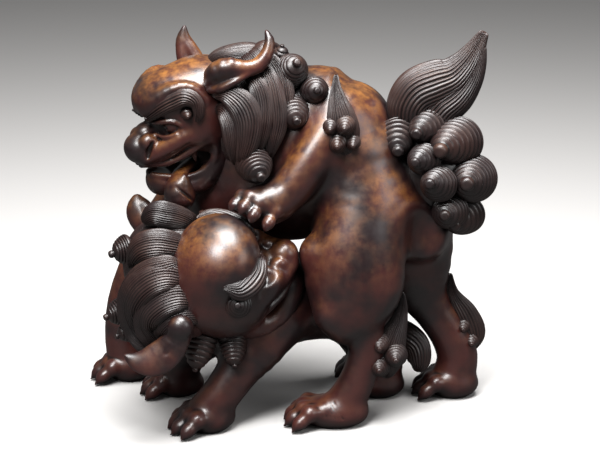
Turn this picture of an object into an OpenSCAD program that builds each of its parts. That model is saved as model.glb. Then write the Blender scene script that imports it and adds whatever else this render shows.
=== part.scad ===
// Stoneware ornament: a guardian lion stands over its cub, one forepaw on the cub's brow.
// Millimetres, +Z up. The front of the ornament looks along -Y and the soles rest on z = 0.
// Every piece is a separately formed lump of clay, luted to the piece that it is cut against.

/* [Lion body] */
// Greatest width of the lion's barrel
lion_torso_w = 106; // [100:1:110]
// Greatest height of the lion's barrel
lion_torso_h = 136; // [130:1:140]
// Wall of the two hollow bodies
clay_wall = 9; // [7:0.5:12]
// Firing vent under each belly
vent_d = 8; // [5:0.5:11]

/* [Lion legs] */
// Width of a thigh, seen from the side
lion_thigh_w = 92; // [86:1:96]
// Thickness of a thigh, seen from the front
lion_thigh_t = 64; // [60:1:68]
// Width of a shank above the paw
lion_shank_w = 32; // [30:0.5:36]
// Width of a foreleg at the shoulder
lion_shoulder_w = 60; // [56:1:64]
// Width of a foreleg at the wrist
lion_wrist_w = 33; // [31:0.5:36]
// Width of a paw across its toes
lion_paw_w = 42; // [39:0.5:45]
// Diameter of a toe
lion_toe_d = 13; // [11:0.5:15]

/* [Lion head] */
// Width of the lion's skull
lion_head_w = 84; // [80:0.5:88]
// How far the lion's jaw drops, in degrees
lion_gape = 16; // [12:1:19]
// Width of the lion's hanging tongue
tongue_w = 25; // [22:0.5:28]
// Diameter of an upper fang
fang_d = 6; // [5:0.25:7]
// Width of an ear of the lion at its bowl
lion_ear_w = 26; // [22:0.5:30]

/* [Manes] */
// Depth of the lion's mane from its nape to its cheek
lion_mane_d = 78; // [74:1:82]
// Width of a swept lock of the lion's mane
lion_lock_w = 30; // [26:0.5:34]
// Width of a swept lock of the cub's mane
cub_lock_w = 28; // [25:0.5:31]
// Thickness of a swept lock
lock_t = 17; // [15:0.5:19]
// Diameter of a snail curl of the lion's mane
lion_curl_d = 24; // [21:0.5:27]
// Diameter of a snail curl of the cub's mane
cub_curl_d = 21; // [18:0.5:24]
// Width of a flame tuft on a shoulder or a hock
tuft_w = 30; // [27:0.5:33]

/* [Tail] */
// Diameter of the ball that carries the tail curls
tail_ball_d = 70; // [66:1:74]
// Diameter of a tail curl
tail_curl_d = 30; // [27:0.5:32]
// Greatest width of the flame plume
plume_w = 66; // [60:1:72]
// Greatest thickness of the flame plume
plume_t = 36; // [32:1:40]

/* [Cub] */
// Width of the cub's skull
cub_head_w = 93; // [90:0.5:96]
// Greatest width of the cub's barrel
cub_torso_w = 68; // [64:1:71]
// Width of a foreleg of the cub at the shoulder
cub_shoulder_w = 56; // [52:1:60]
// Width of a foreleg of the cub at the wrist
cub_wrist_w = 33; // [31:0.5:35]
// Width of a paw of the cub
cub_paw_w = 40; // [37:0.5:43]
// Diameter of a toe of the cub
cub_toe_d = 13; // [11:0.5:15]
// Width of an ear of the cub at its bowl
cub_ear_w = 32; // [28:0.5:36]

/* [Hidden] */
clay = [0.24, 0.15, 0.12];
clay_light = [0.40, 0.25, 0.14];
clay_dark = [0.15, 0.10, 0.09];

// Half sizes of the drawn head, which both heads scale
skull_r = [48, 44, 42];
closed_gape = 2;
jaw_hinge = [-10, 0, -25];

// Heads: centre, then the forward, left and up directions
lion_head_at = [-85, 8, 266];
lion_head_x = [-0.846, -0.401, -0.352];
lion_head_y = [0.454, -0.888, -0.078];
cub_head_at = [-69, -45, 126];
cub_head_x = [0.839, -0.057, 0.542];
cub_head_y = [-0.325, 0.746, 0.582];
lion_head_scale = lion_head_w / (2 * skull_r[1]);
cub_head_scale = cub_head_w / (2 * skull_r[1]);

// The mane, and the upright plane that its two sides mirror in
mane_at = [-42, 14, 265];
mane_r = [lion_mane_d / 2, 58, 56];
cub_mane_at = [-110, -36, 136];
cub_mane_r = [40, 46, 50];
tail_ball_at = [114, -6, 214];

// Middle of the footprint, which is the origin of the part
middle = [-15.7, -3.54, 0];

// Facets of rounded rolls and of ellipsoid lumps
roll_facets = 10;
round_facets = 16;
blob_sides = 18;
blob_rings = 10;
pole = 82;

// Snail curls: foot, axis, share of the curl diameter, height
mane_curls = [
  [[-36, -36, 238], [0.25, -0.85, -0.45], 1.25, 26],
  [[-18, -2, 304], [0.2, -0.1, 1], 0.6, 24],
  [[-7, -10, 298], [0.25, -0.55, 0.8], 1, 30],
  [[12, -10, 284], [0.1, -0.9, 0.42], 1, 32],
  [[-10, -14, 276], [0.12, -0.95, -0.3], 1.05, 34],
];
tail_curls = [
  [[84, -2, 258], [-0.05, -0.89, -0.45], 0.9, 35],
  [[117, -2, 260], [-0.54, -0.84, -0.1], 0.83, 36],
  [[145, 2, 247], [-0.57, -0.82, -0.07], 1.03, 50],
  [[111, -18, 233], [-0.47, -0.88, 0.1], 0.73, 34],
  [[123, -24, 211], [-0.45, -0.86, 0.25], 0.83, 35],
  [[152, 0, 213], [-0.28, -0.96, 0.08], 1.13, 44],
  [[132, -12, 186], [-0.31, -0.94, 0.1], 0.87, 33],
  [[156, 16, 178], [-0.41, -0.9, -0.12], 1.07, 43],
  [[123, 5, 218], [0.16, 0.96, 0.24], 1.07, 44],
];
cub_curls = [
  [[-135, -39, 161], [-0.9, -0.4, -0.16], 1.2, 26],
  [[-141, -45, 111], [-0.88, -0.4, -0.24], 1, 26],
  [[-131, -48, 90], [-0.86, -0.43, -0.26], 0.85, 24],
  [[-84, -66, 96], [-0.05, -0.3, -0.95], 1.15, 38],
  [[-54, -62, 92], [0.05, -0.5, -0.85], 0.95, 27],
];

function unit(v) = v / norm(v);
function mix(a, b, t) = a * (1 - t) + b * t;
function scaled(p, r) = [p[0] * r[0], p[1] * r[1], p[2] * r[2]];
function place(q) = [q[0], q[1], q[2]];

// Smooth curve through evenly spaced stations
function bend(a, b, c, d, t) =
  0.5 * (2 * b + (c - a) * t + (2 * a - 5 * b + 4 * c - d) * t * t + (3 * b - a - 3 * c + d) * t * t * t);
function along(st, s) =
  let (n = len(st) - 1, i = min(floor(s * n), n - 1))
  bend(st[max(i - 1, 0)], st[i], st[i + 1], st[min(i + 2, n)], s * n - i);
function heading(st, s) =
  unit(place(along(st, min(s + 0.01, 1))) - place(along(st, max(s - 0.01, 0))));
// Elliptical section: half width across the lean direction, half thickness along it
function section(st, s, lean, sides) =
  let (q = along(st, s), d = heading(st, s), side = unit(cross(lean, d)), top = cross(d, side))
  [
    for (i = [0:sides - 1])
      let (a = 360 * i / sides)
      place(q) + side * (q[3] * cos(a)) + top * (q[4] * sin(a))
  ];

// Solid through closed rings of points, capped flat at both ends
module skin(rings) {
  n = len(rings[0]);
  last = len(rings) - 1;
  points = [for (r = rings) each r];
  sides = [
    for (k = [0:last - 1], i = [0:n - 1])
      let (a = k * n + i, b = k * n + (i + 1) % n) each [[a, a + n, b + n], [a, b + n, b]]
  ];
  caps = [[for (i = [0:n - 1]) i], [for (i = [n - 1:-1:0]) last * n + i]];
  polyhedron(points, concat(sides, caps));
}

// Body of elliptical sections along a smooth path of [x, y, z, half width, half thickness]
module loft(st, lean, sides, steps) {
  skin([for (k = [0:steps]) section(st, k / steps, lean, sides)]);
}

// Ellipsoid lump of clay
module blob(at, r, sides = blob_sides, steps = blob_rings) {
  skin([
    for (k = [0:steps])
      let (lat = mix(-pole, pole, k / steps))
      [for (i = [0:sides - 1]) let (a = 360 * i / sides)
        at + scaled([sin(lat), cos(lat) * cos(a), cos(lat) * sin(a)], r)]
  ]);
}

// Rounded roll of clay between two points
module roll(a, b, ra, rb) {
  hull() {
    translate(a) sphere(ra, $fn = roll_facets);
    translate(b) sphere(rb, $fn = roll_facets);
  }
}

// Coordinate frame with its own forward and left directions
module frame(at, x, y) {
  z = cross(x, y);
  multmatrix([
    [x[0], y[0], z[0], at[0]],
    [x[1], y[1], z[1], at[1]],
    [x[2], y[2], z[2], at[2]],
  ]) children();
}

// Turns +Z to a direction
module point_to(at, axis) {
  turn = acos(unit(axis)[2]);
  translate(at) rotate([0, turn, atan2(axis[1], axis[0])]) children();
}

// Grooved snail curl standing on its foot, narrow at the foot and blunt at the tip
curl_turns = 4;
curl_waist = 0.45;
curl_foot = 0.55;
module curl(d, height) {
  r = d / 2;
  tip = r * 0.36;
  body = height - tip;
  outline = [
    for (k = [0:curl_turns - 1])
      let (w = mix(r, tip, k / curl_turns), next = (k + 1) / curl_turns)
      each [[w, mix(curl_waist, 1, k / curl_turns) * body], [w * 0.93, mix(curl_waist, 1, next) * body]]
  ];
  rotate_extrude($fn = 32) polygon(concat([[0, 0], [r * curl_foot, 0]], outline, [[0, body]]));
  translate([0, 0, body - tip * 0.3]) sphere(tip, $fn = 32);
}

// Brings the middle of the footprint to the origin
module set_down() {
  translate(-middle) children();
}

// Everything below the soles
ground_w = 600;
module ground() {
  translate([0, 0, -ground_w / 2]) cube(ground_w, center = true);
}

// Mirrors a piece of the near side to the far side of the lion's mane
module far_side() {
  translate([0, 2 * mane_at[1], 0]) mirror([0, 1, 0]) children();
}

// Paw pointing along +X with its sole just below z = 0
toe_count = 4;
module paw(w, toe) {
  pad = w * [
    [-0.8, 0, 0.22, 0.1, 0.1],
    [-0.66, 0, 0.25, 0.28, 0.24],
    [-0.4, 0, 0.28, 0.4, 0.32],
    [0, 0, 0.3, 0.47, 0.34],
    [0.26, 0, 0.27, 0.45, 0.3],
    [0.44, 0, 0.22, 0.34, 0.24],
  ];
  loft(pad, [0, 0, 1], 14, 8);
  for (i = [0:toe_count - 1]) {
    side = (i - (toe_count - 1) / 2) / toe_count;
    reach = 0.4 - 0.35 * side * side;
    knuckle = w * [reach, 0.95 * side, 0.4];
    tip = w * [reach + 0.18, 1.05 * side, 0.2];
    claw = w * [reach + 0.27, 1.1 * side, 0.09];
    roll(knuckle, tip, toe * 0.56, toe * 0.5);
    claw_h = norm(claw - tip) + toe * 0.2;
    point_to(tip, claw - tip)
      cylinder(h = claw_h, r1 = toe * 0.42, r2 = toe * 0.16, $fn = round_facets);
  }
}

// Leg path of [x, y, z, share between the narrow and the wide end] turned into stations
function leg(path, narrow_w, wide_w, narrow_t, wide_t) =
  [for (p = path) concat(place(p), [mix(narrow_w, wide_w, p[3]) / 2, mix(narrow_t, wide_t, p[3]) / 2])];
leg_lean = [0, 1, 0];

// Lion's body

torso_path = [
  [-92, 30, 184, 0.25, 0.25],
  [-76, 27, 194, 0.6, 0.64],
  [-54, 23, 207, 0.84, 0.86],
  [-25, 20, 222, 0.98, 1.09],
  [16, 12, 232, 1, 1.08],
  [45, 4, 219, 0.96, 0.7],
  [75, -2, 190, 0.86, 0.54],
  [100, -7, 168, 0.66, 0.4],
  [116, -8, 152, 0.2, 0.14],
];
function torso(path, w, h, wall) =
  [for (p = path) concat(place(p), [max(p[3] * w / 2 - wall, 1), max(p[4] * h / 2 - wall, 1)])];
lion_torso_st = torso(torso_path, lion_torso_w, lion_torso_h, 0);
// Path without its first and last stations, for the hollow inside
function inner(path) = [for (i = [1:len(path) - 2]) path[i]];
// Share of the torso's depth that the hollow follows, so the arched belly keeps its wall
lion_hollow_depth = 0.78;
lion_cavity_st = torso(inner(torso_path), lion_torso_w, lion_torso_h * lion_hollow_depth, clay_wall);
lion_vent_at = [20, 12, 150];

module lion_torso_form() {
  loft(lion_torso_st, [0, 0, 1], 20, 18);
}

module lion_torso() {
  color(clay_light) set_down() difference() {
    lion_torso_form();
    loft(lion_cavity_st, [0, 0, 1], 12, 8);
    translate(lion_vent_at) cylinder(h = 80, d = vent_d, $fn = 32);
  }
}

// Lion's legs

// The haunch reaches up to just under the back
haunch_top = 164 + lion_torso_h / 2;
hind_left_path = [
  [64, -4, haunch_top, -0.3],
  [60, -14, haunch_top - 18, 0.45],
  [54, -25, 185, 0.86],
  [47, -36, 150, 1],
  [45, -42, 121, 0.96],
  [41, -45, 96, 0.74],
  [44, -44, 73, 0.28],
  [50, -43, 55, 0],
  [47, -43, 37, 0.03],
  [36, -43, 18, 0.1],
];
hind_right_path = [
  [74, -2, 214, -0.3],
  [80, 4, 200, 0.3],
  [90, 14, 174, 0.78],
  [97, 23, 142, 0.78],
  [103, 27, 112, 0.5],
  [115, 27, 88, 0.12],
  [130, 27, 66, 0.05],
  [140, 27, 48, 0.08],
  [143, 27, 32, 0.08],
  [138, 26, 16, 0.1],
];
fore_left_path = [
  [38, -10, 250, 0.7],
  [26, -32, 240, 0.55],
  [11, -39, 223, 0.16],
  [-4, -42, 207, 0.04],
  [-16, -43, 198, 0.06],
  [-27, -43, 195, 0],
];
fore_right_path = [
  [-40, 40, 214, 1],
  [-80, 54, 194, 0.8],
  [-114, 62, 162, 0.5],
  [-142, 66, 120, 0.2],
  [-160, 66, 80, 0.02],
  [-165, 66, 46, 0],
  [-162, 66, 18, 0.1],
];
lion_shank_t = 30;
lion_shoulder_t = 46;
hind_left_paw = [14, -44, 0];
hind_right_paw = [130, 26, 0];
fore_right_paw = [-167, 66, 0];
fore_left_paw = [-26, -46, 200];
fore_left_paw_x = unit([-0.74, -0.5, -0.45]);
fore_left_paw_y = unit(cross([0.2, -0.8, 0.56], fore_left_paw_x));

module hind_leg_form(path) {
  loft(leg(path, lion_shank_w, lion_thigh_w, lion_shank_t, lion_thigh_t), leg_lean, 18, 18);
}

module fore_leg_form(path) {
  loft(leg(path, lion_wrist_w, lion_shoulder_w, lion_shank_t, lion_shoulder_t), leg_lean, 16, 12);
}

module lion_leg_hind_left() {
  color(clay) set_down() difference() {
    union() {
      hind_leg_form(hind_left_path);
      translate(hind_left_paw) rotate(182) paw(lion_paw_w, lion_toe_d);
    }
    lion_torso_form();
    ground();
  }
}

module lion_leg_hind_right() {
  color(clay) set_down() difference() {
    union() {
      hind_leg_form(hind_right_path);
      translate(hind_right_paw) rotate(176) paw(lion_paw_w, lion_toe_d);
    }
    lion_torso_form();
    hind_leg_form(hind_left_path);
    ground();
  }
}

module lion_leg_fore_left() {
  color(clay) set_down() difference() {
    union() {
      fore_leg_form(fore_left_path);
      frame(fore_left_paw, fore_left_paw_x, fore_left_paw_y)
        translate([0, 0, -lion_paw_w * 0.3]) paw(lion_paw_w, lion_toe_d);
    }
    lion_torso_form();
    cub_skull();
    cub_frame() brow_form();
  }
}

module lion_leg_fore_right() {
  color(clay_dark) set_down() difference() {
    union() {
      fore_leg_form(fore_right_path);
      translate(fore_right_paw) rotate(180) paw(lion_paw_w, lion_toe_d);
    }
    lion_torso_form();
    ground();
  }
}

// Heads, drawn once with the nose along +X and scaled to each animal

module skull_form() {
  blob([2, 0, 14], skull_r);
  blob([26, 0, 32], [27, 34, 26]);
  blob([-4, 0, -14], [34, 34, 28]);
}

muzzle_st = [
  [8, 0, -4, 36, 18],
  [28, 0, -6, 31, 15],
  [46, 0, -10, 24, 13],
  [60, 0, -13, 17, 10],
  [65, 0, -13, 10, 6],
];
lip_path = [[60, 11, -19], [45, 26, -17], [27, 34, -13], [9, 38, -13]];
corner_path = [[9, 38, -13], [3, 37, -22], [8, 35, -33]];
lip_r = 6;
eye_at = [36, 23, 14];
eye_r = 10;
fang_root = [24, 31, -12];
fang_len = 18;

module cheek(side) {
  blob([17, 27 * side, -2], [24, 16, 19], 14, 7);
}

module face_form() {
  skull_form();
  loft(muzzle_st, [0, 0, 1], 18, 8);
  blob([60, 0, -5], [12, 16, 12], 14, 7);
  for (side = [1, -1]) {
    cheek(side);
    mirror([0, side > 0 ? 0 : 1, 0]) {
      roll([58, 11, -6], [50, 15, -7], 8.5, 7);
      for (i = [0:len(lip_path) - 2]) {
        roll(lip_path[i], lip_path[i + 1], lip_r, lip_r);
      }
    }
  }
}

// Hollows under the brows and in the nostrils
module face_hollows() {
  for (side = [1, -1]) {
    blob([47, 21 * side, 10], [14, 12, 9], 12, 6);
    translate([63, 12 * side, -11]) sphere(4, $fn = roll_facets);
  }
}

module mouth_hollow() {
  blob([36, 0, -29], [40, 30, 11], 16, 6);
}

jaw_st = [
  [-6, 0, -37, 24, 8],
  [14, 0, -31, 30, 11],
  [38, 0, -32, 27, 11],
  [58, 0, -32, 20, 11],
  [69, 0, -31, 9, 6],
];
module jaw_form(gape) {
  translate(jaw_hinge) rotate([0, gape, 0]) translate(-jaw_hinge) loft(jaw_st, [0, 0, 1], 16, 8);
}

brow_st = [
  [53, 9, 19, 3, 4],
  [46, 20, 25, 7, 7],
  [34, 29, 31, 9, 8],
  [20, 36, 30, 8, 8],
  [14, 40, 21, 5, 5],
];
brow_curl_at = [21, 34, 17];
brow_curl_axis = [0.45, 0.88, 0.1];
module brow_form() {
  loft(brow_st, unit([0.55, 0.6, 0.55]), 10, 8);
  point_to(brow_curl_at, brow_curl_axis) curl(16, 13);
}

// A head's two brows mirror in its middle plane
module brow(side) {
  difference() {
    mirror([0, side > 0 ? 0 : 1, 0]) brow_form();
    skull_form();
    cheek(side);
    eyes();
  }
}

module eyes() {
  for (side = [1, -1]) {
    translate(scaled(eye_at, [1, side, 1])) sphere(eye_r, $fn = round_facets);
  }
}

module fangs() {
  for (side = [1, -1]) {
    translate(scaled(fang_root, [1, side, 1])) rotate([180, 0, 0])
      cylinder(h = fang_len, d1 = fang_d, d2 = fang_d / 3, $fn = round_facets);
  }
}

// Lion's head

module lion_frame() {
  frame(lion_head_at, lion_head_x, lion_head_y) scale(lion_head_scale) children();
}

module lion_skull() {
  lion_frame() skull_form();
}

module lion_head() {
  color(clay_light) set_down() difference() {
    lion_frame() difference() {
      union() {
        difference() {
          union() {
            face_form();
            for (side = [0, 1]) {
              mirror([0, side, 0])
                for (i = [0:len(corner_path) - 2]) {
                  roll(corner_path[i], corner_path[i + 1], lip_r, lip_r * 0.8);
                }
            }
          }
          face_hollows();
          mouth_hollow();
        }
        eyes();
        fangs();
      }
      jaw_form(lion_gape);
    }
    lion_torso_form();
  }
}

module lion_jaw() {
  color(clay_dark) set_down() difference() {
    lion_frame() difference() {
      jaw_form(lion_gape);
      mouth_hollow();
    }
    lion_mane_form();
    lion_torso_form();
  }
}

tongue_path = [
  [20, 4, -37, 0.3, 5],
  [36, 9, -37, 0.5, 6],
  [51, 16, -40, 0.5, 9],
  [55, 20, -54, 0.5, 12],
  [52, 21, -66, 0.44, 11],
  [50, 21, -74, 0.18, 4],
];
module lion_tongue() {
  st = [for (p = tongue_path) concat(place(p), [p[3] * tongue_w, p[4]])];
  color(clay_light) set_down() difference() {
    lion_frame() difference() {
      loft(st, [0.7, 0, 0.7], 12, 10);
      jaw_form(lion_gape);
    }
    cub_mane_form();
  }
}

module lion_brow_left() {
  color(clay) set_down() lion_frame() brow(1);
}

module lion_brow_right() {
  color(clay) set_down() lion_frame() brow(-1);
}

// Ears as curled leaves with a scooped bowl
module ear(path, w, lean, scoop) {
  leaf = [for (p = path) concat(place(p), [p[3] * w, p[4] * w])];
  bowl_at = mix(place(leaf[1]), place(leaf[2]), 0.5) + scoop * w;
  difference() {
    loft(leaf, lean, 12, 10);
    blob(bowl_at, w * [0.36, 0.22, 0.22], 10, 6);
  }
}

lion_ear_left_path = [
  [-74, -24, 296, 0.24, 0.24],
  [-67, -36, 302, 0.48, 0.34],
  [-52, -39, 308, 0.46, 0.32],
  [-38, -37, 313, 0.36, 0.27],
  [-28, -34, 321, 0.27, 0.23],
  [-25, -31, 332, 0.19, 0.17],
  [-27, -29, 342, 0.07, 0.07],
];
lion_ear_right_path = [
  [-88, 30, 296, 0.3, 0.24],
  [-94, 37, 304, 0.44, 0.28],
  [-98, 39, 314, 0.38, 0.24],
  [-101, 41, 324, 0.25, 0.18],
  [-100, 41, 334, 0.08, 0.08],
];

module lion_ear_left() {
  color(clay_light) set_down() difference() {
    ear(lion_ear_left_path, lion_ear_w, [0, 1, 0.2], [0, -0.3, 0.16]);
    lion_skull();
    lion_mane_form();
    lion_lock(lock_front_path);
    lion_lock(lock_back_path);
  }
}

module lion_ear_right() {
  color(clay_light) set_down() difference() {
    ear(lion_ear_right_path, lion_ear_w, [0, 1, 0], [-0.2, -0.22, 0]);
    lion_skull();
    lion_mane_form();
    far_side() lion_lock(lock_front_path);
    far_side() lion_lock(lock_back_path);
  }
}

// Lion's mane: a core of clay behind the face, with swept locks and snail curls laid on it

// Where the mane meets the face, along the head's own forward axis
mane_front = -4;
module lion_mane_form() {
  difference() {
    blob(mane_at, mane_r);
    lion_frame() translate([mane_front + lion_mane_d, 0, 0]) cube([2, 4, 4] * lion_mane_d, center = true);
  }
}

module lion_mane() {
  color(clay) set_down() difference() {
    lion_mane_form();
    lion_skull();
    lion_torso_form();
    fore_leg_form(fore_left_path);
    fore_leg_form(fore_right_path);
  }
}

function lock(path, w) = [for (p = path) concat(place(p), [p[3] * w / 2, p[4] * lock_t / 2])];
lock_lean = [0, -1, 0.1];
lock_front_path = [
  [-68, -26, 304, 0.3, 0.4],
  [-52, -38, 294, 0.9, 0.9],
  [-38, -44, 271, 1, 1],
  [-36, -43, 250, 0.85, 0.9],
  [-37, -40, 234, 0.4, 0.5],
];
lock_back_path = [
  [-46, -20, 313, 0.3, 0.4],
  [-27, -27, 301, 0.7, 0.9],
  [-15, -31, 279, 0.8, 1],
  [-15, -31, 256, 0.7, 0.9],
  [-24, -34, 238, 0.3, 0.4],
];
crest_path = [
  [-84, 6, 312, 0.5, 0.4],
  [-62, 8, 317, 1, 0.8],
  [-38, 10, 317, 1, 0.8],
  [-18, 12, 310, 0.7, 0.7],
  [-6, 14, 302, 0.3, 0.4],
];

module lion_lock(path) {
  loft(lock(path, lion_lock_w), lock_lean, 12, 10);
}

module crest_form() {
  loft(lock(crest_path, lion_lock_w), [0, 0, 1], 12, 10);
}

// What the near locks are laid on
module lock_seat() {
  lion_mane_form();
  lion_skull();
  lion_torso_form();
  fore_leg_form(fore_left_path);
}

module lion_crest() {
  color(clay) set_down() difference() {
    crest_form();
    lock_seat();
  }
}

module lion_lock_front_left() {
  color(clay) set_down() difference() {
    lion_lock(lock_front_path);
    lock_seat();
  }
}

module lion_lock_back_left() {
  color(clay) set_down() difference() {
    lion_lock(lock_back_path);
    lock_seat();
    lion_lock(lock_front_path);
    crest_form();
  }
}

module lion_lock_front_right() {
  color(clay_dark) set_down() difference() {
    far_side() lion_lock(lock_front_path);
    lion_mane_form();
    lion_skull();
    lion_torso_form();
  }
}

module lion_lock_back_right() {
  color(clay_dark) set_down() difference() {
    far_side() lion_lock(lock_back_path);
    lion_mane_form();
    lion_skull();
    lion_torso_form();
    far_side() lion_lock(lock_front_path);
    crest_form();
  }
}

module mane_curl_form(i) {
  c = mane_curls[i];
  point_to(c[0], c[1]) curl(c[2] * lion_curl_d, c[3]);
}

module lion_mane_curl(i) {
  color(clay) set_down() difference() {
    mane_curl_form(i);
    lock_seat();
    lion_lock(lock_front_path);
    lion_lock(lock_back_path);
    crest_form();
  }
}

// Flame tufts, flat against the limb that carries them

function tuft(path) = [for (p = path) concat(place(p), [p[3] * tuft_w, p[4] * tuft_w])];
shoulder_tuft_path = [
  [30, -26, 307, 0.05, 0.05],
  [28, -31, 294, 0.16, 0.14],
  [31, -37, 278, 0.34, 0.24],
  [37, -41, 259, 0.52, 0.28],
  [40, -38, 242, 0.3, 0.2],
];
// From the near shoulder tuft, mirrored, to the far shoulder
far_tuft_shift = [-58, 48, -34];
hock_tuft_left_path = [
  [96, -34, 111, 0.05, 0.05],
  [86, -38, 95, 0.2, 0.16],
  [77, -41, 75, 0.46, 0.28],
  [74, -42, 58, 0.58, 0.32],
  [75, -42, 44, 0.5, 0.3],
  [78, -40, 31, 0.18, 0.14],
];
hock_tuft_right_path = [
  [136, 26, 115, 0.05, 0.05],
  [137, 27, 96, 0.2, 0.16],
  [149, 28, 74, 0.42, 0.28],
  [154, 29, 56, 0.42, 0.3],
  [149, 30, 40, 0.2, 0.16],
];

module tuft_form(path) {
  loft(tuft(path), [0, -1, 0], 12, 10);
}

module lion_shoulder_tuft_left() {
  color(clay) set_down() difference() {
    tuft_form(shoulder_tuft_path);
    lion_torso_form();
    fore_leg_form(fore_left_path);
  }
}

module lion_shoulder_tuft_right() {
  color(clay_dark) set_down() difference() {
    translate(far_tuft_shift) mirror([0, 1, 0]) tuft_form(shoulder_tuft_path);
    lion_torso_form();
    fore_leg_form(fore_right_path);
    lion_mane_form();
    far_side() lion_lock(lock_front_path);
  }
}

module lion_hock_tuft_left() {
  color(clay) set_down() difference() {
    tuft_form(hock_tuft_left_path);
    hind_leg_form(hind_left_path);
  }
}

module lion_hock_tuft_right() {
  color(clay_dark) set_down() difference() {
    tuft_form(hock_tuft_right_path);
    hind_leg_form(hind_right_path);
  }
}

// Tail: a root and ball, ringed with snail curls, under a flame plume

tail_root_path = [
  [86, -4, 178, 20, 18],
  [98, -4, 196, 19, 18],
  [112, -4, 212, 17, 17],
];
plume_path = [
  [104, -4, 238, 0.26, 0.5],
  [104, -4, 256, 0.4, 0.8],
  [107, -4, 271, 0.5, 1],
  [112, -4, 284, 0.53, 1],
  [119, -4, 297, 0.5, 1],
  [128, -4, 306, 0.4, 0.9],
  [137, -4, 312, 0.29, 0.75],
  [145, -4, 319, 0.19, 0.55],
  [150, -4, 328, 0.125, 0.38],
  [155, -4, 337, 0.05, 0.16],
];

module tail_ball() {
  translate(tail_ball_at) sphere(d = tail_ball_d, $fn = 48);
}

module lion_tail_root() {
  color(clay) set_down() difference() {
    union() {
      loft(tail_root_path, [0, 1, 0], 16, 4);
      tail_ball();
    }
    lion_torso_form();
    hind_leg_form(hind_left_path);
    hind_leg_form(hind_right_path);
  }
}

module lion_tail_plume() {
  st = [for (p = plume_path) concat(place(p), [p[3] * plume_w, p[4] * plume_t / 2])];
  color(clay) set_down() difference() {
    loft(st, [0, 1, 0], 14, 18);
    lion_torso_form();
    tail_ball();
    for (i = [0:len(tail_curls) - 1]) {
      tail_curl_form(i);
    }
  }
}

module tail_curl_form(i) {
  c = tail_curls[i];
  point_to(c[0], c[1]) curl(c[2] * tail_curl_d, c[3]);
}

module lion_tail_curl(i) {
  color(clay) set_down() difference() {
    tail_curl_form(i);
    tail_ball();
    lion_torso_form();
  }
}

// Cub's body and legs

cub_torso_path = [
  [-92, -16, 84, 0.3, 0.3],
  [-72, -18, 86, 0.92, 0.92],
  [-38, -10, 94, 1.14, 1.12],
  [0, 12, 100, 1.16, 1.2],
  [36, 32, 90, 1.1, 1.1],
  [66, 40, 66, 0.8, 0.8],
  [88, 38, 54, 0.3, 0.3],
];
cub_torso_h = 68;
cub_torso_st = torso(cub_torso_path, cub_torso_w, cub_torso_h, 0);
cub_cavity_st = torso(inner(cub_torso_path), cub_torso_w, cub_torso_h, clay_wall);
cub_vent_at = [0, 12, 50];

module cub_torso_form() {
  loft(cub_torso_st, [0, 0, 1], 18, 12);
}

module cub_torso() {
  color(clay_dark) set_down() difference() {
    cub_torso_form();
    loft(cub_cavity_st, [0, 0, 1], 12, 8);
    translate(cub_vent_at) cylinder(h = 40, d = vent_d, $fn = 32);
    hind_leg_form(hind_left_path);
    hind_leg_form(hind_right_path);
  }
}

cub_fore_left_path = [
  [-22, -26, 94, 1],
  [-36, -38, 74, 0.75],
  [-52, -46, 53, 0.22],
  [-66, -52, 34, 0.05],
  [-80, -55, 16, 0.1],
];
cub_fore_right_path = [
  [-62, -4, 88, 1],
  [-84, 10, 66, 0.7],
  [-102, 20, 42, 0.2],
  [-112, 25, 18, 0.1],
];
cub_hind_left_path = [
  [58, 28, 66, 0.8],
  [70, 24, 42, 0.6],
  [74, 24, 18, 0.1],
];
cub_hind_right_path = [
  [50, 52, 66, 1],
  [60, 66, 42, 0.7],
  [66, 70, 18, 0.1],
];
cub_wrist_t = 31;
cub_shoulder_t = 42;

module cub_leg_form(path) {
  loft(leg(path, cub_wrist_w, cub_shoulder_w, cub_wrist_t, cub_shoulder_t), leg_lean, 16, 9);
}

module cub_leg(path, paw_at, turn) {
  color(clay_dark) set_down() difference() {
    union() {
      cub_leg_form(path);
      translate(paw_at) rotate(turn) paw(cub_paw_w, cub_toe_d);
    }
    cub_torso_form();
    ground();
    children();
  }
}

module cub_leg_fore_left() {
  cub_leg(cub_fore_left_path, [-86, -57, 0], 196) {
    hind_leg_form(hind_left_path);
    cub_skull();
  }
}

module cub_leg_fore_right() {
  cub_leg(cub_fore_right_path, [-118, 28, 0], 180) {
    cub_skull();
    cub_mane_form();
    fore_leg_form(fore_right_path);
  }
}

module cub_leg_hind_left() {
  cub_leg(cub_hind_left_path, [64, 24, 0], 180) {
    hind_leg_form(hind_left_path);
    hind_leg_form(hind_right_path);
  }
}

module cub_leg_hind_right() {
  cub_leg(cub_hind_right_path, [60, 70, 0], 180) {
    hind_leg_form(hind_right_path);
  }
}

cub_tail_path = [
  [80, 36, 58, 12, 11],
  [94, 28, 58, 12, 12],
  [105, 18, 50, 12, 11],
  [107, 12, 36, 10, 9],
  [104, 10, 28, 3, 3],
];
module cub_tail() {
  color(clay_dark) set_down() difference() {
    loft(cub_tail_path, [0, 1, 0], 12, 8);
    cub_torso_form();
    hind_leg_form(hind_right_path);
    hind_leg_form(hind_left_path);
    cub_leg_form(cub_hind_left_path);
    cub_leg_form(cub_hind_right_path);
  }
}

// Cub's head and mane

module cub_frame() {
  frame(cub_head_at, cub_head_x, cub_head_y) scale(cub_head_scale) children();
}

module cub_skull() {
  cub_frame() skull_form();
}

module cub_head() {
  color(clay_light) set_down() difference() {
    cub_frame() difference() {
      union() {
        difference() {
          face_form();
          face_hollows();
        }
        eyes();
      }
      jaw_form(closed_gape);
    }
    cub_torso_form();
    hind_leg_form(hind_left_path);
  }
}

module cub_jaw() {
  color(clay) set_down() difference() {
    cub_frame() jaw_form(closed_gape);
    cub_torso_form();
    cub_leg_form(cub_fore_left_path);
    hind_leg_form(hind_left_path);
  }
}

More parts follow.
